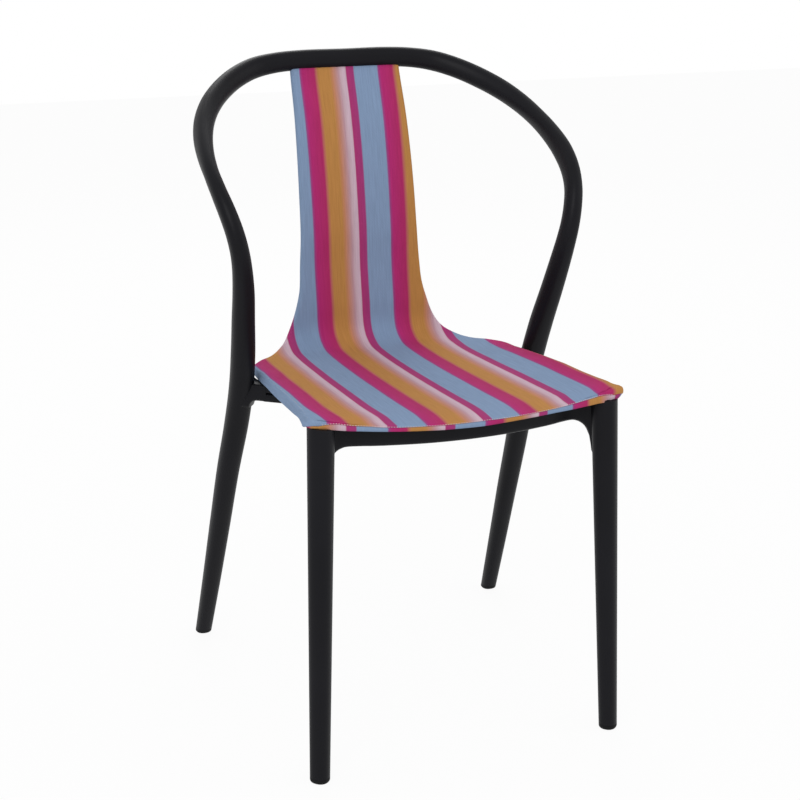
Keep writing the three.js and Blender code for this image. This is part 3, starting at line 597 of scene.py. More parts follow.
@dataclass(frozen=True)
class StripedCloth:
    """The woven seat cloth. Its UV map is the flat cloth, in metres."""

    name: str = "striped_cloth"
    slot: Slot = Slot.CLOTH
    repeat: float = 112.25
    start: float = 12.0
    yarn: float = 1.1
    # millimetre within the repeat, and colour
    stops: tuple[tuple[float, Triple], ...] = (
        (0.0, (0.2, 0.28, 0.42)), (33.0, (0.2, 0.28, 0.42)), (34.6, (0.28, 0.055, 0.2)),
        (38.0, (0.395, 0.025, 0.148)), (54.9, (0.375, 0.025, 0.112)), (57.6, (0.42, 0.13, 0.1)),
        (60.6, (0.43, 0.205, 0.06)), (76.5, (0.43, 0.205, 0.06)), (80.5, (0.46, 0.2, 0.105)),
        (84.5, (0.45, 0.22, 0.18)), (89.5, (0.435, 0.26, 0.295)), (92.5, (0.49, 0.345, 0.395)),
        (96.5, (0.53, 0.39, 0.46)), (99.6, (0.53, 0.375, 0.45)), (100.8, (0.35, 0.035, 0.145)),
        (110.8, (0.31, 0.04, 0.16)), (112.2, (0.2, 0.28, 0.42)),
    )

    def material(self) -> Material:
        """Returns the material."""
        sheen = {"Sheen_Weight": 0.02, "Sheen_Roughness": 0.5}
        bench = Surface(self.name, Roughness=0.85, Specular_IOR_Level=0.06, **sheen)
        across = bench.add("SeparateXYZ")
        bench.link(bench.coordinates("UV", (1 / MM, 1 / MM, 1.0)), across)
        ragged = bench.texture("TexNoise", "UV", (900.0, 120.0, 1.0))
        shifted = bench.math("ADD", across, bench.math("MULTIPLY", ragged, 0.5))
        turns = bench.math("DIVIDE", bench.math("SUBTRACT", shifted, self.start), self.repeat)
        stripes = bench.add("ValToRGB")
        bench.link(bench.math("FRACT", turns), stripes)
        elements = stripes.color_ramp.elements
        for place, _ in self.stops[1:-1]:
            elements.new(place / self.repeat)
        for element, (place, colour) in zip(elements, self.stops):
            element.position, element.color = place / self.repeat, (*colour, 1)
        streaks = bench.texture("TexNoise", "UV", (700.0, 25.0, 1.0), Detail=3.0)
        tone = bench.spread(streaks, (0.92, 1.08), (0.3, 0.7))
        weave = self._weave(bench)
        dyed = bench.add("VectorMath", operation="SCALE")
        bench.link(stripes, dyed)
        # the weave's height also scales the colour, on top of its bump: painted shade in the
        # weave's hollows and a painted highlight on its raised yarn
        bench.link(bench.math("MULTIPLY", tone, bench.spread(weave, (0.9, 1.1))), dyed, "Scale")
        bench.link(dyed, bench.shader, "Base Color")
        bench.bump(weave, 0.25, 0.6)
        return bench.material

    def _weave(self, bench: Surface) -> Node:
        """Adds a plain weave.

        Args:
            bench: The material to add it to.

        Returns:
            The node whose first output is the weave's height, from 0 to 1.
        """
        split = bench.add("SeparateXYZ")
        bench.link(bench.coordinates("UV", (math.pi / (self.yarn * MM),) * 3), split)
        across, along = (bench.math("SINE", split.outputs[axis]) for axis in (0, 1))
        over = bench.math("MULTIPLY", across, along)
        return bench.math("ADD", bench.math("MULTIPLY", over, 0.5), 0.5)


Finish = Plastic | Metal | Felt | StripedCloth

FRAME = Plastic("frame_plastic", Slot.FRAME, (0.007, 0.007, 0.0092), 0.42)
GLIDE = Plastic("glide_nylon", Slot.GLIDE, (0.006, 0.0062, 0.0068), 0.55)
CORE = Plastic("core_plastic", Slot.CORE, (0.02, 0.021, 0.023), 0.6)
ZINC = Metal("zinc_steel", Slot.ZINC, (0.62, 0.63, 0.66), 0.32)
BRASS = Metal("insert_brass", Slot.BRASS, (0.6, 0.42, 0.16), 0.35)
FOAM = Felt("seat_foam", Slot.FOAM, (0.68, 0.62, 0.5), 0.8, 0.2)
LINING = Felt("lining", Slot.LINING, (0.02, 0.021, 0.023), 1.4, 0.15)
THREAD = Felt("pale_thread", Slot.CLOTH, (0.62, 0.5, 0.52), 0.3, 0.05)
CLOTH = StripedCloth()


@cache
def made(finish: Finish) -> Material:
    """Returns a finish's material, made the first time it is asked for."""
    return finish.material()


def along_table(table: Table, place: float) -> float:
    """Returns the value at a place of a table of places and values."""
    for (a, low), (b, high) in zip(table, table[1:]):
        if place <= b:
            return mix(low, high, clamp((place - a) / (b - a)))
    return table[-1][1]


def fillet(gap: float, radius: float) -> float:
    """Returns how far a quarter circle fills a corner, at a gap from the corner's wall."""
    near = clamp(radius - gap, 0, radius)
    return radius - math.sqrt(radius**2 - near**2)


@dataclass(frozen=True)
class SeatRow:
    """The seat at one distance from its front edge."""

    half: float
    crest: float
    rise: float
    power: float
    y: float
    z: float
    normal: Vector


@dataclass
class SeatForm:
    """The form of the seat and back: one profile, dished across, with a level underside."""

    front_height: float = 455.0
    drop: float = 18.0
    rise: float = 10.0
    bow: float = 43.0
    bow_fade: float = 220.0
    back_half: float = 89.3
    rail_underside: float = 805.1
    soft_tuck: float = 5.0
    seat_power: float = 3.0
    back_power: float = 2.5
    thickness: float = 6.0
    lip_width: float = 9.0
    lip_slope: float = 9.0
    # half-depth share, share of the drop, flare, share of the rise, crest's inset from the edge
    seat_rows: Table = (
        (-1, 0.04, 1.03, 1, 1), (-0.951, 0, 1.03, 1, 1), (-0.86, 0.06, 0.985, 0.98, 3),
        (-0.775, 0.12, 0.965, 0.88, 4.2), (-0.583, 0.32, 0.888, 1, 0.5),
        (-0.325, 0.56, 0.86, 1.08, 0), (-0.114, 0.74, 0.841, 0.92, 0), (0.07, 0.87, 0.82, 0.7, 0.5),
        (0.231, 0.96, 0.81, 0.36, 1), (0.356, 1, 0.772, 0.22, -0.5), (0.446, 1, 0.63, 0.15, -2.5),
        (0.501, 0.97, 0.511, 0.02, -1),
    )
    # half-depth share, share of the rise to the rail, flare, share of the rise
    back_rows: Table = (
        (0.542, 0.006, 0.427, 0), (0.579, 0.015, 0.34, 0.03), (0.613, 0.028, 0.257, 0.06),
        (0.638, 0.045, 0.197, 0.12), (0.655, 0.067, 0.149, 0.18), (0.666, 0.098, 0.102, 0.27),
        (0.673, 0.14, 0.057, 0.36), (0.689, 0.204, 0.004, 0.48), (0.709, 0.297, -0.02, 0.54),
        (0.718, 0.405, -0.04, 0.54), (0.748, 0.552, -0.051, 0.48), (0.787, 0.692, -0.063, 0.36),
        (0.841, 0.83, -0.077, 0.24), (0.908, 0.95, -0.089, 0.12), (0.923, 0.982, -0.092, 0.09),
        (0.931, 1.024, -0.094, 0.09),
    )
    back_inset: float = 0.5
    bend_share: float = 0.501
    level_share: float = -0.5
    under_rise_share: float = -0.8
    under_rise: float = 0.5
    corner: float = 12.5
    # side share and height of the rim's bottom along the front edge
    front_rim: Table = (
        (-1, 452), (-0.95, 451.3), (-0.875, 450), (-0.75, 448.4), (-0.625, 447.2), (-0.5, 446),
        (-0.25, 444.3), (0, 444.1), (0.25, 445.6), (0.5, 446.6), (0.75, 446), (0.875, 445.4),
        (1, 444.2),
    )
    # depth and height by which the left edge stands above the right one
    left_lift: Table = ((10, 0), (40, 2.6), (75, 2.8), (95, 2.2), (125, 1.8), (160, 0))
    # side share and how far the top surface sinks at the front edge
    front_sink: Table = (
        (-1, 0.6), (-0.875, 1.6), (-0.75, 2.6), (-0.5, 2.3), (0, 1.8), (0.5, 2.4), (0.75, 3.1),
        (0.875, 2.9), (1, 1.4),
    )
    sink_level: float = 4.0
    sink_reach: float = 34.0
    samples: int = 900

    def __post_init__(self) -> None:
        """Samples the profile."""
        low = self.front_height - self.drop
        top = self.rail_underside + self.soft_tuck
        rows = [(f, y, self.front_height - d * self.drop, r, c) for y, d, f, r, c in self.seat_rows]
        rows += [(f, y, mix(low, top, s), r, self.back_inset) for y, s, f, r in self.back_rows]
        halves = [mix(self.back_half, CORNER_HALF, row[0]) for row in rows]
        spots = [(half, row[1] * HALF_DEPTH, row[2]) for half, row in zip(halves, rows)]
        path = SmoothPath([Vector(spot) for spot in spots])
        self._rows: list[SeatRow] = []
        for k in range(self.samples + 1):
            share = k / self.samples
            first, step = between(share, len(rows))
            a, b = rows[first : first + 2]
            point, way = path.at(share), path.tangent(share)
            crest, rise = point.x - mix(a[4], b[4], step), self.rise * mix(a[3], b[3], step)
            power = mix(self.seat_power, self.back_power, share)
            normal = Vector((0, -way.z, way.y)).normalized()
            self._rows.append(SeatRow(point.x, crest, rise, power, point.y, point.z, normal))
        self._runs = running([(row.y, row.z) for row in self._rows])
        self.length = self._runs[-1]
        below = [run for run, row in zip(self._runs, self._rows) if row.z < top]
        self.soft_end = below[-1]

    def row(self, run: float) -> SeatRow:
        """Finds the seat at a distance from its front edge.

        Args:
            run: The distance along the profile.

        Returns:
            The seat's sizes there.
        """
        reach = clamp(run, 0, self.length)
        k = min(bisect_right(self._runs, reach), len(self._runs) - 1) - 1
        share = (reach - self._runs[k]) / max(self._runs[k + 1] - self._runs[k], 1e-9)
        a, b = self._rows[k : k + 2]
        sizes = ("half", "crest", "rise", "power", "y", "z", "normal")
        return SeatRow(*(mix(getattr(a, name), getattr(b, name), share) for name in sizes))

    def row_at(self, side: float, run: float) -> SeatRow:
        """Returns the seat's row at a side share and a run behind the bowed front edge."""
        return self.row(self.front_run(side, run))

    def run_at_depth(self, depth: float) -> float:
        """Returns the distance at which the profile reaches a depth on the seat."""
        return next(r for r, row in zip(self._runs, self._rows) if row.y >= depth)

    def crest_lift(self, side: float, row: SeatRow) -> float:
        """Returns how far the top surface is raised at a share of the half width."""
        uneven = along_table(self.left_lift, row.y) if side < 0 else 0.0
        return (row.rise + uneven) * abs(side) ** row.power

    def sink(self, side: float, run: float) -> float:
        """Returns how far the top surface sinks near the front edge."""
        fade = ease((run - self.sink_level) / self.sink_reach)
        return along_table(self.front_sink, side) * (1 - fade)

    def under_lift(self, side: float, row: SeatRow) -> float:
        """Finds how far the underside is raised: it is level towards the front.

        Args:
            side: The share of the half width, from -1 to 1.
            row: The seat's row.

        Returns:
            The rise of the underside.
        """
        lift = row.rise * abs(side) ** row.power
        depth = row.y / HALF_DEPTH
        if depth > self.bend_share:
            return lift
        share = (depth - self.level_share) / (self.under_rise_share - self.level_share)
        return lift * self.under_rise * clamp(share)

    def lip(self, side: float, run: float) -> float:
        """Returns how much deeper the underside hangs at a place near the front edge."""
        row = self.row_at(side, 0)
        rim = row.z + self.under_lift(side, row) - self.thickness
        hang = rim - along_table(self.front_rim, side)
        return hang * (1 - ease((run - self.lip_width) / self.lip_slope))

    def front_run(self, side: float, run: float) -> float:
        """Returns the profile distance of a place that is a run behind the bowed front edge."""
        return run + self.bow * side * side * max(0.0, 1 - run / self.bow_fade) ** 2

    def top(self, side: float, run: float, inset: float = 0.0, depth: float = 0.0) -> Vector:
        """Finds a point of the top surface.

        Args:
            side: The share of the crest's half width, from -1 to 1.
            run: The distance from the bowed front edge.
            inset: How far the edge is drawn in.
            depth: How far the point lies under the surface.

        Returns:
            The point, in millimetres.
        """
        row = self.row_at(side, run)
        x = side * (row.crest - inset)
        share = x / row.crest
        lift = self.crest_lift(share, row) - self.sink(share, run) - depth
        return Vector((x, row.y, row.z)) + row.normal * lift

    def under(self, side: float, run: float, inset: float = 0.0, depth: float = 0.0) -> Vector:
        """Finds a point of the underside.

        Args:
            side: The share of the edge's half width, from -1 to 1.
            run: The distance from the bowed front edge.
            inset: How far the edge is drawn in.
            depth: How far the point lies above the underside.

        Returns:
            The point, in millimetres.
        """
        row = self.row_at(side, run)
        x = side * (row.half - inset)
        lift = self.under_lift(x / row.half, row) - self.thickness - self.lip(side, run) + depth
        return Vector((x, row.y, row.z)) + row.normal * lift


def up_side(side: float, run: float, blend: float) -> float:
    """Returns 0 along the border's front, easing to 1 within a run up its sides."""
    return ease(run / blend) if abs(side) >= 1 else 0.0


@dataclass
class EdgeRun:
    """The border of the top surface: up the left side, along the front and up the right side."""

    form: SeatForm
    end: float
    inset: float
    front_inset: float
    corner: float = 8.0
    side_step: float = 5.0
    front_steps: int = 60
    bunching: float = 0.35

    def __post_init__(self) -> None:
        """Lists the border's places as side share and run, and the way outwards at each."""
        self.runs = [self.corner * (1 - quarter(k / 8)[1]) for k in range(8)]
        steps = int((self.end - self.corner) / self.side_step)
        self.runs += [mix(self.corner, self.end, k / steps) for k in range(steps + 1)]
        # closer together near both corners
        shares = [k / self.front_steps * 2 - 1 for k in range(self.front_steps + 1)]
        self.sides = [mix(share, quarter(share)[0], self.bunching) for share in shares]
        self.border = [(-1.0, run) for run in reversed(self.runs)]
        self.border += [(side, 0.0) for side in self.sides[1:-1]]
        self.border += [(1.0, run) for run in self.runs]
        points = [self.place(*spot) for spot in self.border]
        ends = zip([points[0], *points], [*points[1:], points[-1]])
        self.ways = [
            (after - before).normalized().cross(self.form.row_at(*spot).normal).normalized()
            for spot, (before, after) in zip(self.border, ends)
        ]

    def place(self, side: float, run: float) -> Vector:
        """Finds a point of the top surface inside the border.

        Args:
            side: The share of the border's half width.
            run: The distance from the border's front.

        Returns:
            The point, in millimetres.
        """
        cut = fillet(run, self.corner)
        return self.form.top(side, run + self.front_inset, self.inset + cut)


@dataclass
class StripedCover:
    """The cloth on the sitter's side, rolled over the front and wrapped down the sides."""

    form: SeatForm
    roll: float = 4.5
    front_roll: float = 1.6
    tuck: float = 8.0
    bottom_radius: float = 2.2
    seam_tuck: float = 1.2
    seam_radius: float = 0.5
    corner_blend: float = 14.0
    ears: Pair = (2.4, 7.0)
    ear_reach: Pair = (9.0, 12.0)
    ear_depth: float = 19.0
    ear_rise: float = 0.55
    least_seam: float = 1.5
    # side share and height of the seam along the front edge
    seam_line: Table = (
        (-1, 456), (-0.95, 457.2), (-0.875, 458.2), (-0.75, 455.8), (-0.625, 452.6), (-0.5, 451.2),
        (-0.25, 450.4), (0, 451), (0.25, 452.5), (0.5, 453.9), (0.75, 454.3), (0.875, 454.6),
        (0.95, 454.6), (1, 453.6),
    )
    cloth_thickness: float = 0.7
    # how far apart the stripes are at the front and beyond a run, as multiples of the flat cloth
    fan: Pair = (1.045, 1.0)
    fan_end: float = 420.0
    # where the flat cloth is pulled or, below 0, slack: by how much, from which place across and
    # over how much width, about which run and over how much of it
    pulls: Table = ((6.5, -60, -110, 0, 100), (2.8, 95, 40, 390, 50), (-2.2, 150, 35, 130, 90))
    # rows along each stretch of the wrap: over the crest, its bend, the wall, its bend, the tuck
    wrap_rows: tuple[int, ...] = (1, 4, 3, 4, 4)

    def __post_init__(self) -> None:
        """Sets out the border."""
        end = self.form.soft_end - self.roll
        self.edge = EdgeRun(self.form, end, self.roll, self.front_roll)

    def across_cloth(self, x: float, run: float) -> float:
        """Finds the place across the flat cloth of a place across the seat.

        Args:
            x: The place across the seat.
            run: The distance from the bowed front edge.

        Returns:
            The place across the cloth.
        """
        flat = x / mix(*self.fan, ease(run / self.fan_end))
        for pull, start, width, middle, reach in self.pulls:
            flat -= pull * clamp((x - start) / width) * (1 - ease(abs(run - middle) / reach))
        return flat

    def wall(self, side: float, run: float) -> float:
        """Returns the depth of the rim's bottom below the crest at a border place."""
        form = self.form
        row = form.row_at(side, run)
        lift = form.crest_lift(side, row) - form.under_lift(side, row)
        return form.thickness + form.lip(side, run) + lift - form.sink(side, run + self.front_roll)

    def seam(self, side: float) -> float:
        """Returns the seam's depth under the front edge at a share of the half width."""
        row = self.form.row_at(side, 0)
        crest = row.z + self.form.crest_lift(side, row) - self.form.sink(side, 0)
        return max(self.least_seam, crest - along_table(self.seam_line, side))

    def reach(self, side: float, run: float) -> float:
        """Returns how far the outline lies outside the border at one of its places."""
        return mix(self.front_roll, self.roll, up_side(side, run, self.edge.corner))

    def flare(self, side: float, run: float, deep: float) -> float:
        """Finds how far the rim stands out: it does so at the front corners, near the top.

        Args:
            side: The share of the border's half width.
            run: The distance from the border's front.
            deep: The depth below the crest.

        Returns:
            How far it stands out.
        """
        across = (1 - abs(side)) * self.form.row(self.form.bow).half / self.ear_reach[0]
        along = max(0.0, run - self.edge.corner / 2) / self.ear_reach[1]
        bulge = math.sin(math.pi * clamp(deep / self.ear_depth) ** self.ear_rise)
        return self.ears[side > 0] * math.exp(-(across**2) - along**2) * bulge

    def wrap_point(self, k: int, i: int) -> tuple[Vector, float]:
        """Finds a point of the wrap over the edge.

        Args:
            k: The border's point.
            i: The row of the wrap, from the crest to the tucked edge.

        Returns:
            The point in millimetres, and its distance from the crest along the cloth.
        """
        side, run = self.edge.border[k]
        row = self.form.row_at(side, run)
        on_side = up_side(side, run, self.corner_blend)
        height = mix(self.seam(side), self.wall(side, run), on_side)
        splay = (row.half - row.crest) * on_side
        low = mix(self.seam_radius, self.bottom_radius, on_side)
        reach = self.reach(side, run)
        r = min(reach, height - low)
        level = reach - r
        # lengths along the cloth at the end of each stretch, then at each row
        arc = level + r * math.pi / 2
        wall = arc + height - r - low
        turn = wall + low * math.pi / 2
        end = turn + mix(self.seam_tuck, self.tuck, on_side)
        ends = (0, level, arc, wall, turn, end)
        stretches = zip(ends, ends[1:], self.wrap_rows)
        marks = [mix(a, b, n / count) for a, b, count in stretches for n in range(count)]
        s = [*marks, end, end][i]
        if s <= level:
            off, deep = s, 0.0
        elif s <= arc:
            a = (s - level) / r
            off, deep = level + r * math.sin(a), r * (1 - math.cos(a))
        elif s <= wall:
            t = (s - arc) / max(wall - arc, 1e-6)
            off, deep = reach + splay * t, r + (wall - arc) * t
        elif s <= turn:
            a = (s - wall) / low
            off = reach + splay - low * (1 - math.cos(a))
            deep = height - low + low * math.sin(a)
        else:
            off, deep = reach + splay - low - (s - turn), height
        off += self.flare(side, run, deep)
        return self.edge.place(side, run) + self.edge.ways[k] * off - row.normal * deep, s

    def build(self) -> Object:
        """Builds the cover.

        Returns:
            The finished piece.
        """
        edge, form = self.edge, self.form
        sides, runs, steps = edge.sides, edge.runs, sum(self.wrap_rows) + 1

        def cloth(i: int, j: int) -> Pair:
            side, run = sides[i], runs[j]
            return self.across_cloth(edge.place(side, run).x, run), form.front_run(side, run)

        def wrap_cloth(i: int, j: int) -> Pair:
            side, run = edge.border[j]
            s = self.wrap_point(j, i)[1]
            x, out = edge.place(side, run).x, edge.ways[j].x
            u = self.across_cloth(x, run) + math.copysign(s, x) * abs(out)
            return u, form.front_run(side, run) - s * math.sqrt(max(0.0, 1 - out**2))

        bm = bmesh.new()
        size = (len(sides) - 1, len(runs) - 1)
        bend_grid(bm, *size, lambda i, j: edge.place(sides[i], runs[j]), cloth)
        size = (steps, len(edge.border) - 1)
        bend_grid(bm, *size, lambda i, j: self.wrap_point(j, i)[0], wrap_cloth)
        bmesh.ops.remove_doubles(bm, verts=bm.verts, dist=10 * WELD)
        piece = finish_piece("striped_cover", bm, CLOTH, ["seat_cover"], sharp_angle=70)
        add_thickness(piece, self.cloth_thickness)
        return piece


def add_thickness(piece: Object, thickness: float) -> None:
    """Gives a cloth its thickness in millimetres, inwards."""
    wall = piece.modifiers.new("thickness", "SOLIDIFY")
    wall.thickness = thickness * MM
    wall.offset = -1.0


def declare_sheet(piece: Object, rests_on: str) -> None:
    """Logs the flat size and area of a stretched cloth from its UV map, which is the flat cloth in
    metres.

    Args:
        piece: The cloth.
        rests_on: The piece it lies on; not used.
    """
    bm = bmesh.new()
    bm.from_mesh(piece.data)
    layer = bm.loops.layers.uv.active
    faces = [[loop[layer].uv.copy() for loop in face.loops] for face in bm.faces]
    bm.free()
    xs, ys = zip(*(uv for face in faces for uv in face))
    flat = (max(xs) - min(xs), max(ys) - min(ys))
    rings = [zip(face, [*face[1:], face[0]]) for face in faces]
    area = sum(abs(sum(a.cross(b) for a, b in ring)) / 2 for ring in rings)
    LOG.info("%s: flat %.3f x %.3f m, %.4f m2", piece.name, *flat, area)


@dataclass
class FrontHem:
    """The narrow band sewn under the cover's front edge, cut from the same cloth."""

    cover: StripedCover
    proud: float = 0.5
    radius: float = 1.6
    tuck: float = 9.0
    thickness: float = 0.8
    # places down the hem's last stretch, as shares of its tuck
    tuck_shares: tuple[float, ...] = (0.25, 0.5, 0.75, 1, 1)
    bend_shares: tuple[float, ...] = (0, 0.5, 1)
    stitch_pitch: float = 3.2
    stitch_length: float = 2.2
    stitch_proud: float = 2.2
    stitch_lift: float = 0.8
    thread: float = 0.42
    around: float = 17.0
    seam_tuck: float = 1.2
    swell: float = 0.15
    # how far the hem draws back at its ends, as a multiple of how proud it stands
    end_draw: float = 2.4
    # place across the chair's front and across the flat cloth, which is pulled tighter on the left
    cloth_line: Table = (
        (-205, -158), (-159, -112), (-46.5, 0), (74.5, 112), (148, 180.5), (205, 238),
    )

    def point(self, k: int, i: int) -> tuple[Vector, float]:
        """Finds a point of the hem.

        Args:
            k: The border's point.
            i: The step down the hem.

        Returns:
            The point in millimetres, and its distance from the seam along the cloth.
        """
        cover = self.cover
        side, run = cover.edge.border[k]
        fade = up_side(side, run, self.around)
        top = cover.seam(side)
        bottom = mix(cover.wall(side, run), top + 1.0, fade)
        reach = cover.reach(side, run) + self.proud * (1 - self.end_draw * fade)
        r = min(self.radius, (bottom - top) / 2.2)
        inner = reach - r
        bends = [quarter(share) for share in self.bend_shares]
        marks = [(inner - self.seam_tuck, top)]
        marks += [(inner + r * s, top + r - r * c) for s, c in bends]
        marks.append((reach + self.swell, (top + bottom) / 2))
        marks += [(inner + r * c, bottom - r + r * s) for s, c in bends]
        marks += [(inner - self.tuck * share, bottom) for share in self.tuck_shares]
        off, deep = marks[i]
        off += cover.flare(side, run, deep)
        point = cover.edge.place(side, run) + cover.edge.ways[k] * off
        return point - cover.form.row_at(side, run).normal * deep, running(marks[: i + 1])[-1]

    def build(self) -> Object:
        """Builds the hem.

        Returns:
            The finished piece.
        """
        border = self.cover.edge.border
        places = [k for k, (side, run) in enumerate(border) if abs(side) < 1 or run < self.around]

        def cloth(i: int, j: int) -> Pair:
            point, down = self.point(places[j], i)
            side, run = border[places[j]]
            around = math.copysign(run, side) if abs(side) >= 1 else 0.0
            return along_table(self.cloth_line, point.x) + around, down

        bm = bmesh.new()
        steps = 2 * len(self.bend_shares) + len(self.tuck_shares) + 1
        bend_grid(bm, steps, len(places) - 1, lambda i, j: self.point(places[j], i)[0], cloth)
        piece = finish_piece("front_hem", bm, CLOTH, ["edge_band"], sharp_angle=70)
        add_thickness(piece, self.thickness)
        return piece

    def stitches(self) -> Object:
        """Sews the seam: a row of short stitches just above the hem.

        Returns:
            The finished piece.
        """
        edge = self.cover.edge
        front = [k for k, (side, _) in enumerate(edge.border) if abs(side) < 1]
        spots = [self.point(k, 0)[0] + edge.ways[k] * self.stitch_proud for k in front]
        line = SmoothPath(spots)
        count = int(running(spots)[-1] / self.stitch_pitch)
        size = Vector((self.stitch_length / 2, self.thread, self.thread)) * MM
        bm = bmesh.new()
        for share in line.even_shares(2 * count)[1::2]:
            middle = (line.at(share) + UP * self.stitch_lift) * MM
            turn = line.tangent(share).to_track_quat("X", "Z")
            matrix = Matrix.LocRotScale(middle, turn, size)
            bmesh.ops.create_uvsphere(bm, u_segments=6, v_segments=5, radius=1, matrix=matrix)
        return finish_piece("seam_stitches", bm, THREAD, sharp_angle=80)


@dataclass
class SeatLayers:
    """What is under the cover: foam skin, moulded shell and the lining on the underside."""

    form: SeatForm
    step: float = 8.0
    corner_rows: int = 10
    columns: int = 32
    inset: float = 2.2
    front_inset: float = 3.7
    foam_depths: Pair = (1.0, 2.0)
    core_top: float = 2.3
    core_lift: float = 1.0
    lining_lift: float = 0.1
    lining_thickness: float = 0.5
    lining_inset: float = 5.5
    lining_columns: int = 80
    lining_step: float = 4.0
    wrinkle: float = 0.35
    wrinkle_size: Pair = (22.0, 55.0)
    slack_reach: float = 30.0
    rail_tuck: float = 8.0

    def _layer(
        self,
        name: str,
        finish: Finish,
        node: str,
        faces: Sequence[tuple[Callable[..., Vector], float]],
        end: float,
    ) -> Object:
        """Builds a closed layer between two surfaces, with closer rows at its front corners.

        Args:
            name: The piece's name.
            finish: Its finish.
            node: The CAD node it stands for.
            faces: The upper and the lower surface of the form, each with a depth from it.
            end: The run at its top end.

        Returns:
            The finished piece.
        """
        form, close, wide = self.form, self.corner_rows, self.columns
        start = self.front_inset
        rows = int((end - start) / self.step)
        around = 2 * wide + 2

        def place(i: int, j: int) -> Vector:
            run = mix(start, end, max(0, j - close) / rows)
            if j < close:
                run = start + form.corner * (j / close) ** 1.5 * 0.99
            elif j == close:
                run = start + form.corner
            below, k = divmod(i % around, wide + 1)
            side = (1 - 2 * below) * (2 * k / wide - 1)
            surface, depth = faces[below]
            cut = fillet(run - self.inset, form.corner - self.inset)
            return surface(side, run, self.inset + cut, depth)

        bm = bmesh.new()
        bend_tube(bm, around, rows + close, place)
        return finish_piece(name, bm, finish, [node], sharp_angle=50)

    def build(self) -> tuple[Object, Object]:
        """Builds the three layers.

        Returns:
            Foam skin and lining.
        """
        form = self.form
        faces = [(form.top, depth) for depth in self.foam_depths]
        foam = self._layer("seat_foam_skin", FOAM, "seat_foam", faces, form.soft_end - self.inset)
        faces = [(form.top, self.core_top), (form.under, self.core_lift)]
        self._layer("seat_shell", CORE, "seat_core", faces, form.length)
        return foam, self._lining(form.soft_end - self.rail_tuck)

    def _lining(self, end: float) -> Object:
        """Builds the lining, slightly slack between its edges.

        Args:
            end: The run at its top end.

        Returns:
            The finished piece.
        """
        form, start = self.form, self.lining_inset
        rows, columns = int((end - start) / self.lining_step), self.lining_columns

        def place(i: int, j: int) -> Vector:
            side, run = 2 * i / columns - 1, mix(start, end, j / rows)
            point = form.under(side, run, self.lining_inset, self.lining_lift)
            near = min(run - start, end - run) / self.slack_reach
            slack = clamp(min(3 * (1 - abs(side)), near))
            wide, long = self.wrinkle_size
            crease = noise.noise(Vector((point.x / wide, run / long, 1.7)))
            return point + form.row_at(side, run).normal * (self.wrinkle * crease * slack)

        bm = bmesh.new()
        bend_grid(bm, columns, rows, place, lambda i, j: (place(i, j).x, mix(start, end, j / rows)))
        piece = finish_piece("underside_lining", bm, LINING, ["underside_liner"], sharp_angle=60)
        add_thickness(piece, self.lining_thickness)
        return piece


@dataclass
class HoopTube:
    """The tube that makes the top rail, arms, posts and rear legs."""

    half_width: float = 250.0
    height: float = 830.0
    tube: float = 30.6
    power: float = 2.3
    # shares of half width, half depth and height, size inwards and across, tilt
    rows: Table = (
        (0, 0.956, 0.985, 0.85, 0.73, 1), (0.235, 0.955, 0.985, 0.865, 0.74, 0.97),
        (0.392, 0.952, 0.982, 0.875, 0.8, 0.9), (0.514, 0.932, 0.976, 0.905, 0.86, 0.82),
        (0.629, 0.872, 0.965, 0.905, 0.88, 0.74), (0.733, 0.786, 0.95, 0.905, 0.88, 0.66),
        (0.82, 0.683, 0.933, 0.885, 0.9, 0.55), (0.886, 0.569, 0.914, 0.83, 0.93, 0.42),
        (0.929, 0.446, 0.894, 0.75, 0.95, 0.25), (0.953, 0.314, 0.873, 0.69, 0.96, 0),
        (0.96, 0.184, 0.851, 0.64, 0.97, -0.2), (0.952, 0.074, 0.827, 0.66, 0.95, -0.18),
        (0.934, -0.002, 0.802, 0.7, 0.92, -0.1), (0.912, -0.043, 0.775, 0.73, 0.9, -0.05),
        (0.8935, -0.055, 0.748, 0.76, 0.87, 0), (0.879, -0.043, 0.721, 0.8, 0.87, 0),
        (0.864, -0.003, 0.681, 0.89, 0.87, 0), (0.852, 0.059, 0.634, 0.95, 0.9, 0),
        (0.836, 0.14, 0.575, 1.015, 0.96, 0), (0.8275, 0.221, 0.514, 1.04, 0.97, 0),
        (0.8325, 0.321, 0.443, 1.035, 0.96, 0), (0.8535, 0.444, 0.353, 0.975, 0.93, 0),
        (0.87, 0.6, 0.239, 0.91, 0.9, 0), (0.887, 0.753, 0.126, 0.83, 0.81, 0),
        (0.907, 0.928, 0, 0.725, 0.71, 0),
    )

    def __post_init__(self) -> None:
        """Lays the rows out from the left foot to the right foot."""
        size = Vector((self.half_width, HALF_DEPTH, self.height))
        right = [(Vector(row[:3]) * size, *row[3:]) for row in self.rows]
        left = [(place * FLIP, *sizes) for place, *sizes in reversed(right[1:])]
        self._all = left + right
        self.path = SmoothPath([row[0] for row in self._all])

    def section(self, share: float) -> BarSection:
        """Finds the tube's section.

        Args:
            share: The share of its run, from the left foot to the right foot.

        Returns:
            The section.
        """
        first, step = between(share, len(self._all))
        a, b = self._all[first : first + 2]
        inward, cross, tilt = (mix(p, q, step) for p, q in zip(a[1:], b[1:]))
        angle = tilt * math.pi / 2
        side = -1 if a[0].x + b[0].x < 0 else 1
        along = self.path.tangent(share)
        towards = Vector((-side * math.cos(angle), 0, -math.sin(angle)))
        up = (towards - along * towards.dot(along)).normalized()
        halves = (cross * self.tube / 2, inward * self.tube / 2)
        return BarSection(self.path.at(share), along.cross(up), up, *halves, self.power)

    def post_at(self, height: float) -> BarSection:
        """Returns the right-hand post's or rear leg's section at a height."""
        return self.section(last_place(0.52, 1.0, lambda s: self.section(s).middle.z > height))


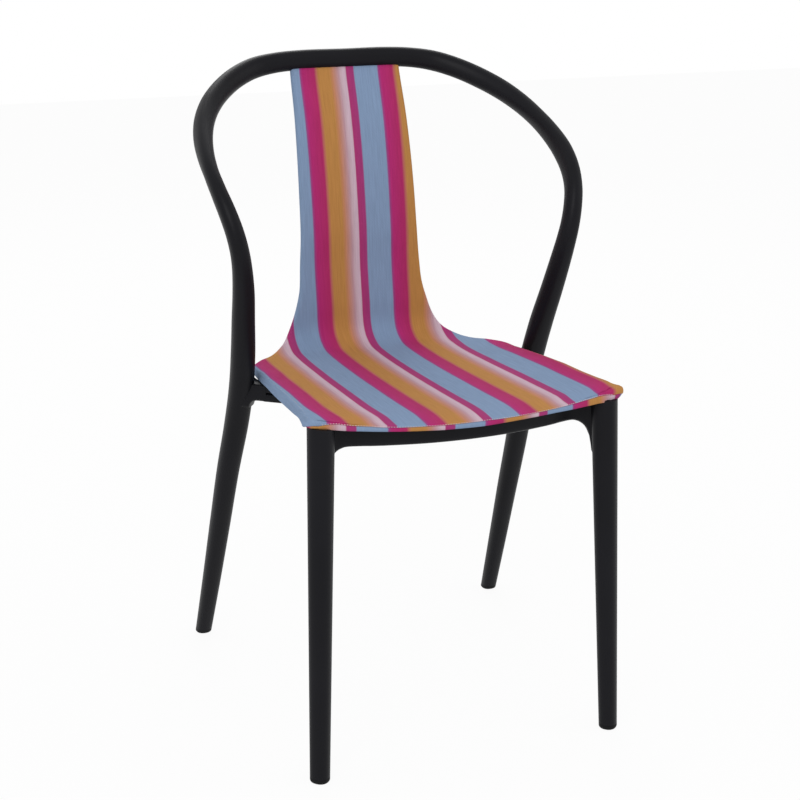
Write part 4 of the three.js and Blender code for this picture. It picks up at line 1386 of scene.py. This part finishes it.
def mirrored_path(half: Table) -> SmoothPath:
    """Makes a level path from its right-hand half.

    Args:
        half: Shares of the seat's half width and of the half depth, from or to the middle.

    Returns:
        The path from the left to the right.
    """
    points = [Vector((x * CORNER_HALF, y * HALF_DEPTH, 0)) for x, y in half]
    if half[0][0] != 0:
        points.reverse()
    return SmoothPath([p * FLIP for p in reversed(points[1:])] + points)


def level_section(
    place: Vector, across: Vector, levels: Pair, width: float, power: float
) -> BarSection:
    """Makes one section of a level bar.

    Args:
        place: Where it is in plan.
        across: The bar's sideways direction.
        levels: Its bottom and top.
        width: Its width.
        power: How square it is.

    Returns:
        The section.
    """
    low, high = levels
    middle = Vector((place.x, place.y, (low + high) / 2))
    return BarSection(middle, across, UP, width / 2, (high - low) / 2, power)


@dataclass
class UnderFrame:
    """Levels and places that the seat frame and the back frame's stub arms share."""

    form: SeatForm
    hoop: HoopTube
    rail_width: float = 21.0
    rail_drop: float = 2.5
    rail_depth_front: float = 29.3
    rail_depth_rear: float = 21.5
    rail_front: float = -0.87
    rail_rear: float = 0.33
    lap_depth: float = 0.04
    lap_length: float = 38.0
    arm_power: float = 5.0
    gusset: float = 4.5
    gusset_reach: float = 7.0
    fit: float = 0.3
    # places of the seat bolts along the side rails, as shares of the half depth
    bolt_shares: tuple[tuple[str, float], ...] = (("front", -0.5), ("rear", 0.2))
    front_plan: Table = (
        (0, -0.825), (0.25, -0.812), (0.5, -0.77), (0.7, -0.72), (0.82, -0.73), (0.9, -0.79),
    )
    side_plan: Table = (
        (0.9, -0.79), (0.8, -0.68), (0.705, -0.51), (0.668, -0.27), (0.655, 0.02), (0.63, 0.17),
        (0.5, 0.28), (0.25, 0.32), (0, 0.33),
    )

    def __post_init__(self) -> None:
        """Lays out the rails and the lap joint."""
        self.front_path = mirrored_path(self.front_plan)
        self.side_path = mirrored_path(self.side_plan)
        rail = self.side_rail_at(self.lap_depth * HALF_DEPTH)
        self.lap_top = self.seat_bottom(rail.x, rail.y) - self.rail_drop
        self.lap_bottom = self.rail_bottom(rail.y)
        self.lap_split = (self.lap_top + self.lap_bottom) / 2
        self.post = self.hoop.post_at(self.lap_bottom)
        run = (rail - self.post.middle) * Vector((1, 1, 0))
        self.arm_run = run.length
        self.arm_way = run.normalized()
        self.arm_end = self.arm_run - self.rail_width / 2
        self.lap_start = self.arm_end - self.lap_length

    def seat_bottom(self, x: float, y: float) -> float:
        """Returns the height of the seat's underside over a place, without its front lip."""
        row = self.form.row(self.form.run_at_depth(y))
        return row.z + self.form.under_lift(x / row.half, row) - self.form.thickness

    def rim_bottom(self, x: float, y: float) -> float:
        """Returns the height of the seat's underside over a place, with its front lip."""
        form = self.form
        run = depth = form.run_at_depth(max(y, -HALF_DEPTH))
        side = clamp(x / form.row(depth).half, -1, 1)
        for _ in range(6):
            run = clamp(depth - (form.front_run(side, run) - run), 0, depth)
        return form.under(side, run).z

    def seat_top(self, x: float, y: float) -> float:
        """Returns the height of the seat's top surface over a place."""
        row = self.form.row(self.form.run_at_depth(y))
        return row.z + row.rise * abs(x / row.half) ** row.power

    def rail_bottom(self, y: float) -> float:
        """Returns the height of the rails' underside at a depth."""
        share = (y / HALF_DEPTH - self.rail_front) / (self.rail_rear - self.rail_front)
        deep = mix(self.rail_depth_front, self.rail_depth_rear, share)
        return self.seat_bottom(0, y) - deep - self.rail_drop

    def side_rail_at(self, y: float) -> Vector:
        """Returns the middle of the right-hand side rail at a depth."""
        path = self.side_path
        rising = path.at(0.75).y < path.at(0.5).y
        return path.at(last_place(0.5, 1.0, lambda share: (path.at(share).y > y) == rising))

    def arm_place(self, run: float, z: float) -> Vector:
        """Returns a place on the right-hand stub arm, a distance from its post."""
        return Vector((self.post.middle.x, self.post.middle.y, z)) + self.arm_way * run

    def arm_bar(
        self, span: Pair, levels: Pair, width: float, radius: float, steps: int
    ) -> list[BarSection]:
        """Lists the sections of a bar along the stub arm.

        Args:
            span: The distances of its ends from the post.
            levels: Its bottom and top.
            width: Its width.
            radius: The fillet against the post.
            steps: How many steps it has.

        Returns:
            The sections.
        """
        across = Vector((self.arm_way.y, -self.arm_way.x, 0))
        sections = []
        for k in range(steps + 1):
            run = mix(*span, (k / steps) ** 1.6)
            gap = run - self.post.half_up
            higher = self.gusset * (1 - clamp(gap / self.gusset_reach)) ** 1.5 if radius else 0.0
            spread = (levels[0] - fillet(gap, radius), levels[1] + higher)
            place = self.arm_place(run, 0)
            sections.append(level_section(place, across, spread, width, self.arm_power))
        return sections


def sweep_pair(bm: BMesh, sections: Sequence[BarSection], sides: int) -> None:
    """Adds a bar and its mirror image to a bmesh.

    Args:
        bm: The bmesh to add to.
        sections: The right-hand bar's sections.
        sides: How many steps go round it.
    """
    sweep_bar(bm, sections, sides)
    mirrored = [
        replace(s, middle=s.middle * FLIP, across=s.across * FLIP, up=s.up * FLIP) for s in sections
    ]
    sweep_bar(bm, mirrored, sides)


@dataclass
class FrontLeg:
    """The right-hand front leg."""

    wide: float = 31.6
    narrow: float = 32.0
    foot: Pair = (0.9495, -0.885)
    top: Pair = (0.888, -0.81)
    top_height: float = 418.6
    power: float = 2.2

    def section(self, height: float) -> BarSection:
        """Returns the leg's section at a height."""
        share = height / self.top_height
        x, y = (mix(low, high, share) for low, high in zip(self.foot, self.top))
        return BarSection(
            middle=Vector((x * CORNER_HALF, y * HALF_DEPTH, height)),
            across=Vector((1, 1, 0)).normalized(),
            up=Vector((1, -1, 0)).normalized(),
            half_across=self.wide / 2 * mix(0.78, 1, share),
            half_up=self.narrow / 2 * mix(0.72, 1, share),
            power=self.power,
        )


def sleeve_profile(
    bore: float, barrel: float, low: float, high: float, flange: float = 0.0
) -> list[Pair]:
    """Lists the closed profile of a threaded sleeve, flanged at its top if it has a flange.

    Args:
        bore: The bore's radius.
        barrel: The barrel's outer radius.
        low: Its lower end.
        high: Its upper end.
        flange: The flange's radius.

    Returns:
        Radius and height pairs, the last the same as the first.
    """
    outside = [(barrel, high)]
    if flange:
        edge = flange - 0.3
        outside = [(barrel, high - 1.0), (edge, high - 1.0), (flange, high - 0.7)]
        outside += [(flange, high - 0.3), (edge, high)]
    inside = [(bore, high), (bore, low + 0.4), (bore + 0.4, low)]
    return [*inside, (barrel - 0.3, low), (barrel, low + 0.3), *outside, (bore, high)]


@dataclass(frozen=True)
class Bolt:
    """A bolt with a domed head: the shank's, head's and socket's radii and the head's height."""

    shank: float
    head: float
    height: float
    socket: float
    pitch: float = 1.25

    def profile(self, length: float) -> list[Pair]:
        """Lists the bolt's profile, with its threads.

        Args:
            length: The shank's length.

        Returns:
            Radius and height pairs from the head's middle to the shank's tip.
        """
        deep = -self.height * 0.35
        profile = [(0, deep - 0.2), (self.socket, deep), (self.socket, -self.height + 0.15)]
        profile.append((self.socket + 0.15, -self.height))
        for s, c in (quarter(k / 5) for k in range(6)):
            profile.append((mix(self.head * 0.72, self.head, s), -self.height * mix(0.4, 1, c)))
        profile += [(self.head, -0.25), (self.head - 0.2, 0), (self.shank, 0)]
        for k in range(int((length - 1.5) / self.pitch)):
            z = 1.0 + k * self.pitch
            profile += [(self.shank, z), (self.shank * 0.86, z + 0.55), (self.shank, z + 1.0)]
        return [*profile, (self.shank, length - 0.5), (self.shank * 0.6, length), (0, length)]

    def rooms(self, fit: float, at: Vector) -> list[Room]:
        """Returns the rooms that an upright bolt's head and shank need, with a fit round them."""
        return [(self.head + fit, -20, fit, at, UP), (self.shank + fit, -1, 60, at, UP)]


@dataclass
class Fasteners:
    """Bolts, nuts, inserts and screws, and the rooms they need in the mouldings."""

    under: UnderFrame
    seat_bolt: Bolt = Bolt(3.0, 6.5, 3.5, 2.2)
    frame_bolt: Bolt = Bolt(2.5, 4.8, 2.6, 1.7)
    screw: Bolt = Bolt(2.0, 3.6, 2.2, 1.4)
    head_depth: float = 2.0
    nut_depth: float = 3.1
    nut_rise: float = 1.6
    nut_flange: float = 8.0
    screw_side: float = 48.0
    pitch: float = 20.0
    fit: float = 0.3

    def __post_init__(self) -> None:
        """Works out every right-hand fastener and the rooms that they need."""
        # profile, place, axis and finish by node name
        self.turned: dict[str, tuple[list[Pair], Vector, Vector, Metal]] = {}
        self.seat_rooms: list[Room] = []
        self.back_rooms: list[Room] = []
        self._plan_seat_bolts()
        self._plan_frame_bolts()
        self._plan_screw()

    def _plan_seat_bolts(self) -> None:
        """Places the bolts up through the side rails, and their nuts."""
        under, bolt = self.under, self.seat_bolt
        for name, share in under.bolt_shares:
            place = under.side_rail_at(share * HALF_DEPTH)
            seat = under.rail_bottom(place.y) + self.head_depth + bolt.height
            top = under.seat_top(place.x, place.y) - self.nut_depth
            low = under.seat_bottom(place.x, place.y) + self.nut_rise
            nut = sleeve_profile(bolt.shank + 0.3, bolt.shank + 1.7, low, top, self.nut_flange)
            at = place + UP * seat
            self.turned[f"seat_bolt_{name}"] = (bolt.profile(top - seat), at, UP, ZINC)
            self.turned[f"tee_nut_{name}"] = (nut, place, UP, ZINC)
            self.seat_rooms += bolt.rooms(self.fit, at)

    def _plan_frame_bolts(self) -> None:
        """Places the bolts through the lap joint, and their inserts."""
        under, bolt = self.under, self.frame_bolt
        middle = (under.lap_start + under.arm_end) / 2
        seat = under.lap_bottom + bolt.height + self.fit
        length = under.lap_top - bolt.shank / 2 - seat
        low, high = under.lap_split + 0.45, under.lap_top - self.fit
        for name, off in (("outer", -self.pitch / 2), ("inner", self.pitch / 2)):
            at = under.arm_place(middle + off, seat)
            sleeve = sleeve_profile(bolt.shank + 0.3, bolt.shank + 1.8, low, high)
            self.turned[f"frame_bolt_{name}"] = (bolt.profile(length), at, UP, ZINC)
            self.turned[f"insert_{name}"] = (sleeve, at - UP * at.z, UP, BRASS)
            self.back_rooms += bolt.rooms(self.fit, at)
            self.seat_rooms.append((bolt.shank + 2.1, under.lap_split - seat - 3, 60, at, UP))

    def _plan_screw(self) -> None:
        """Places the screw from the back of the top rail into the shell."""
        row = self.under.form.row(self.under.form.length - 5.5)
        axis, rail, height = row.normal, self.under.hoop.section(0.5), self.screw.height
        tip = Vector((self.screw_side, row.y, row.z)) - axis * 1.7
        length = rail.half_across + (tip - rail.middle).dot(axis) - 1.6 - height
        at = tip - axis * length
        self.turned["back_screw"] = (self.screw.profile(length), at, axis, ZINC)
        self.back_rooms.append((self.screw.head + self.fit, -20, self.fit, at, axis))

    def build(self) -> None:
        """Builds every fastener on both sides."""
        for name, (profile, place, axis, finish) in self.turned.items():
            for side in Side:
                node = f"{name}_{side.name.lower()}"
                bm = bmesh.new()
                spin_profile(bm, profile, place * side.way, axis)
                finish_piece(f"{node}_turned", bm, finish, [node], 30)


def room_cutter(rooms: Sequence[Room]) -> BMesh:
    """Makes the cutter for round rooms and their mirror images.

    Args:
        rooms: Radius, start, end, place and axis of each.

    Returns:
        The cutter.
    """
    bm = bmesh.new()
    for radius, start, end, place, axis in rooms:
        for side in Side:
            middle = (place * side.way + axis * ((start + end) / 2)) * MM
            matrix = Matrix.LocRotScale(middle, axis.to_track_quat("Z", "Y"), None)
            size = {"radius1": radius * MM, "radius2": radius * MM, "depth": (end - start) * MM}
            bmesh.ops.create_cone(bm, cap_ends=True, segments=32, matrix=matrix, **size)
    return bm


@dataclass
class Mouldings:
    """The two black mouldings: back frame and seat frame."""

    under: UnderFrame
    leg: FrontLeg
    fasteners: Fasteners
    floor_gap: float = 6.3
    tube_sides: int = 40
    rail_sides: int = 32
    arm_width: float = 25.0
    boss: float = 12.0
    arm_fillet: float = 11.0
    leg_fillet: float = 30.0
    leg_flow: float = 1.5
    rail_power: float = 4.0
    hoop_steps: int = 360
    leg_steps: int = 60
    front_steps: int = 120
    side_steps: int = 200

    def back_frame(self) -> None:
        """Builds the hoop with its stub arms."""
        under, hoop, width = self.under, self.under.hoop, self.arm_width
        bm = bmesh.new()
        sections = [hoop.section(share) for share in hoop.path.even_shares(self.hoop_steps)]
        sweep_bar(bm, sections, self.tube_sides)
        self._level_feet(bm)
        span, levels = (0, under.lap_start - under.fit), (under.lap_bottom, under.lap_top)
        sweep_pair(bm, under.arm_bar(span, levels, width, self.arm_fillet, 24), self.rail_sides)
        span = (under.lap_start - 4, under.arm_end - 1)
        levels = (under.lap_bottom, under.lap_split - under.fit / 2)
        sweep_pair(bm, under.arm_bar(span, levels, width - 0.1, 0, 4), self.rail_sides)
        self._finish("back_frame", bm, self.fasteners.back_rooms)

    def _level_feet(self, bm: BMesh) -> None:
        """Cuts the legs level above their glides."""
        geom = [*bm.verts, *bm.edges, *bm.faces]
        plane = {"plane_co": UP * (self.floor_gap * MM), "plane_no": -UP}
        cut = bmesh.ops.bisect_plane(bm, geom=geom, clear_outer=True, **plane)
        edges = [g for g in cut["geom_cut"] if isinstance(g, bmesh.types.BMEdge)]
        bmesh.ops.holes_fill(bm, edges=edges, sides=0)

    def _rail(self, path: SmoothPath, steps: int) -> list[BarSection]:
        """Lists the sections of a rail, deeper where it runs into the front legs.

        Args:
            path: Its plan.
            steps: How many steps it has.

        Returns:
            The sections.
        """
        under = self.under
        leg = self.leg.section(self.leg.top_height).middle
        sections = []
        for share in path.even_shares(steps):
            place, along = path.at(share), path.tangent(share)
            gap = math.hypot(abs(place.x) - leg.x, place.y - leg.y) - self.leg.narrow / 2
            high = under.seat_bottom(abs(place.x), place.y) - under.rail_drop
            low = under.rail_bottom(place.y) - self.leg_flow * fillet(gap, self.leg_fillet)
            across = Vector((along.y, -along.x, 0)).normalized()
            size = (under.rail_width, self.rail_power)
            sections.append(level_section(place, across, (low, high), *size))
        return sections

    def seat_frame(self) -> None:
        """Builds the front legs, rails, bosses and lap pads."""
        under, form = self.under, self.under.form
        bm = bmesh.new()
        cut = min(height for _, height in form.front_rim) - under.fit
        steps = self.leg_steps
        heights = [mix(self.floor_gap, cut, k / steps) for k in range(steps + 1)]
        sweep_pair(bm, [self.leg.section(height) for height in heights], self.tube_sides)
        for vert in bm.verts:
            if vert.co.z > (cut - 0.1) * MM:
                vert.co.z = (under.rim_bottom(vert.co.x / MM, vert.co.y / MM) - under.fit) * MM
        span, levels = (under.lap_start, under.arm_run), (under.lap_split + 0.15, under.lap_top)
        sweep_pair(bm, under.arm_bar(span, levels, self.arm_width, 0, 8), self.rail_sides)
        sweep_bar(bm, self._rail(under.front_path, self.front_steps), self.rail_sides)
        sweep_bar(bm, self._rail(under.side_path, self.side_steps), self.rail_sides)
        for _, share in under.bolt_shares:
            place = under.side_rail_at(share * HALF_DEPTH)
            low, high = under.rail_bottom(place.y), under.seat_bottom(place.x, place.y) - 0.3
            wall = [(self.boss - 1, low), (self.boss, low + 1), (self.boss, high)]
            for spot in (place, place * FLIP):
                spin_profile(bm, [(0, low), *wall, (0, high)], spot)
        self._finish("seat_frame", bm, self.fasteners.seat_rooms)

    def _finish(self, node: str, bm: BMesh, rooms: Sequence[Room]) -> None:
        piece = finish_piece(f"{node}_moulding", bm, FRAME, [node])
        carve(piece, room_cutter(rooms))


@dataclass
class Glides:
    """The four nylon glides: a rounded cap under each leg and a plug inside it."""

    leg: FrontLeg
    hoop: HoopTube
    cap: float = 6.0
    rounding: float = 3.0
    plug: float = 4.5
    plug_length: float = 20.0
    sides: int = 40

    def _rear_section(self, height: float) -> BarSection:
        """Returns the right-hand rear leg's section at a height near the floor."""
        low, high = self.hoop.section(1), self.hoop.post_at(self.cap + self.plug_length)
        share = height / high.middle.z
        names = ("middle", "half_across", "half_up")
        sizes = {name: mix(getattr(low, name), getattr(high, name), share) for name in names}
        return replace(low, **sizes)

    def _build_one(self, node: str, section: Callable[[float], BarSection], side: Side) -> None:
        """Builds one glide.

        Args:
            node: The CAD node it stands for.
            section: Gives the leg's section at a height.
            side: The half of the chair it is on.
        """
        flip = side.way
        bends = [quarter(k / 8) for k in range(9)]
        levels = [(self.rounding * (1 - c), self.rounding * (1 - s)) for s, c in bends]
        levels += [(mix(self.rounding, self.cap, k / 3), 0.0) for k in range(1, 4)]

        def place(i: int, j: int) -> Vector:
            height, drawn_in = levels[j]
            at = section(height)
            way = section(height + 1).middle - at.middle
            point = at.point(2 * math.pi * i / self.sides)
            level = point + way * ((height - point.z) / way.z)
            return (level + (at.middle - level).normalized() * drawn_in) * flip

        bm = bmesh.new()
        bend_tube(bm, self.sides, len(levels) - 1, place)
        top, length = section(self.cap).middle, self.plug_length
        way = (section(self.cap + 20).middle - top).normalized() * flip
        wall = [(self.plug, -1), (self.plug, length - 1), (self.plug - 1, length)]
        spin_profile(bm, [(0, -1), *wall, (0, length)], top * flip, way)
        finish_piece(f"{node}_cap", bm, GLIDE, [node])

    def build(self) -> None:
        """Builds all four."""
        for side in Side:
            for end, section in (("front", self.leg.section), ("rear", self._rear_section)):
                self._build_one(f"{end}_glide_{side.name.lower()}", section, side)


@dataclass
class Studio:
    """The pale floor, soft light, white surroundings and the photograph's camera."""

    azimuth: float = -20.5
    elevation: float = 17.72
    roll: float = 0.09
    lens: float = 76.03
    eye: Triple = (-747.1, -1975.6, 1075.3)
    floor_size: float = 6.0
    floor_grey: float = 0.78
    floor_white: float = 0.93
    surround_light: float = 0.8
    target: Triple = (0.0, 0.0, 0.45)
    # name, place and side in metres, and power in watts
    lamps: tuple[tuple[str, Triple, float, float], ...] = (
        ("key_light", (-1.6, -2.4, 2.6), 1.8, 36), ("fill_light", (2.4, -1.2, 1.6), 2.2, 11),
        ("rim_light", (0.6, 2.4, 2.2), 1.6, 18),
    )

    def camera(self) -> None:
        """Sets up the camera."""
        data = bpy.data.cameras.new("photo_camera")
        data.lens, data.sensor_width = self.lens, 36.0
        data.clip_start, data.clip_end = 0.05, 50.0
        a, e, roll = (math.radians(turn) for turn in (self.azimuth, self.elevation, self.roll))
        ahead = Vector((-math.sin(a) * math.cos(e), math.cos(a) * math.cos(e), -math.sin(e)))
        camera = add_object("photo_camera", data)
        self._aim(camera, Vector(self.eye) * MM, ahead, roll)
        bpy.context.scene.camera = camera

    def _aim(self, thing: Object, place: Vector, ahead: Vector, roll: float = 0.0) -> None:
        """Puts a camera or lamp at a place in metres and turns it to look ahead.

        Args:
            thing: The camera or lamp.
            place: Where it goes.
            ahead: Where it looks.
            roll: Its turn about that direction, in radians.
        """
        thing.location = place
        thing.rotation_mode = "QUATERNION"
        thing.rotation_quaternion = ahead.to_track_quat("-Z", "Y") @ Quaternion(UP, roll)

    def floor(self) -> None:
        """Lays the floor, which shows white where it is looked at or mirrored."""
        bm = bmesh.new()
        bmesh.ops.create_grid(bm, x_segments=1, y_segments=1, size=self.floor_size)
        floor = add_object("floor", as_mesh("floor", bm))
        grey = (*(self.floor_grey,) * 3, 1)
        bench = Surface("pale_floor", Base_Color=grey, Roughness=0.9, Specular_IOR_Level=0.1)
        rays = bench.add("LightPath").outputs
        seen = bench.math("MAXIMUM", rays["Is Camera Ray"], rays["Is Glossy Ray"])
        seen = bench.math("MAXIMUM", seen, rays["Is Transmission Ray"])
        share = bench.math("MULTIPLY", seen, self.floor_white)
        bench.blend(share, bench.shader, bench.add("Emission"))
        floor.data.materials.append(bench.material)

    def light(self) -> None:
        """Hangs square soft lights that face the chair."""
        for name, place, size, power in self.lamps:
            data = bpy.data.lights.new(name, "AREA")
            data.shape, data.size, data.energy = "SQUARE", size, power
            self._aim(add_object(name, data), Vector(place), Vector(self.target) - Vector(place))

    def surroundings(self) -> None:
        """Sets the surroundings: soft grey light, seen as white."""
        world = bpy.data.worlds.new("surroundings")
        bench = NodeBench(world, "OutputWorld")
        rays = bench.add("LightPath").outputs
        seen = bench.math("MAXIMUM", rays["Is Camera Ray"], rays["Is Transmission Ray"])
        white = (1, 1, 1, 1)
        lit = bench.add("Background", {"Color": white, "Strength": self.surround_light})
        bench.blend(seen, lit, bench.add("Background", {"Color": white, "Strength": 1.0}))
        bpy.context.scene.world = world

    def build(self) -> None:
        """Sets up camera, floor, surroundings and lights."""
        bpy.context.scene.view_settings.view_transform = "Standard"
        self.camera()
        self.floor()
        self.surroundings()
        self.light()


def main() -> None:
    """Builds the chair, its light and its camera."""
    logging.basicConfig(level=logging.INFO, format="%(message)s")
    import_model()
    Studio().build()
    form, hoop, leg = SeatForm(), HoopTube(), FrontLeg()
    under = UnderFrame(form, hoop)
    fasteners = Fasteners(under)
    fasteners.build()
    mouldings = Mouldings(under, leg, fasteners)
    mouldings.back_frame()
    mouldings.seat_frame()
    Glides(leg, hoop).build()
    foam, lining = SeatLayers(form).build()
    cover = StripedCover(form)
    cloth = cover.build()
    hem = FrontHem(cover)
    band, stitches = hem.build(), hem.stitches()
    declare_sheet(cloth, foam.name)
    declare_sheet(band, "seat_shell")
    declare_sheet(lining, "seat_shell")


if __name__ == "__main__":
    main()
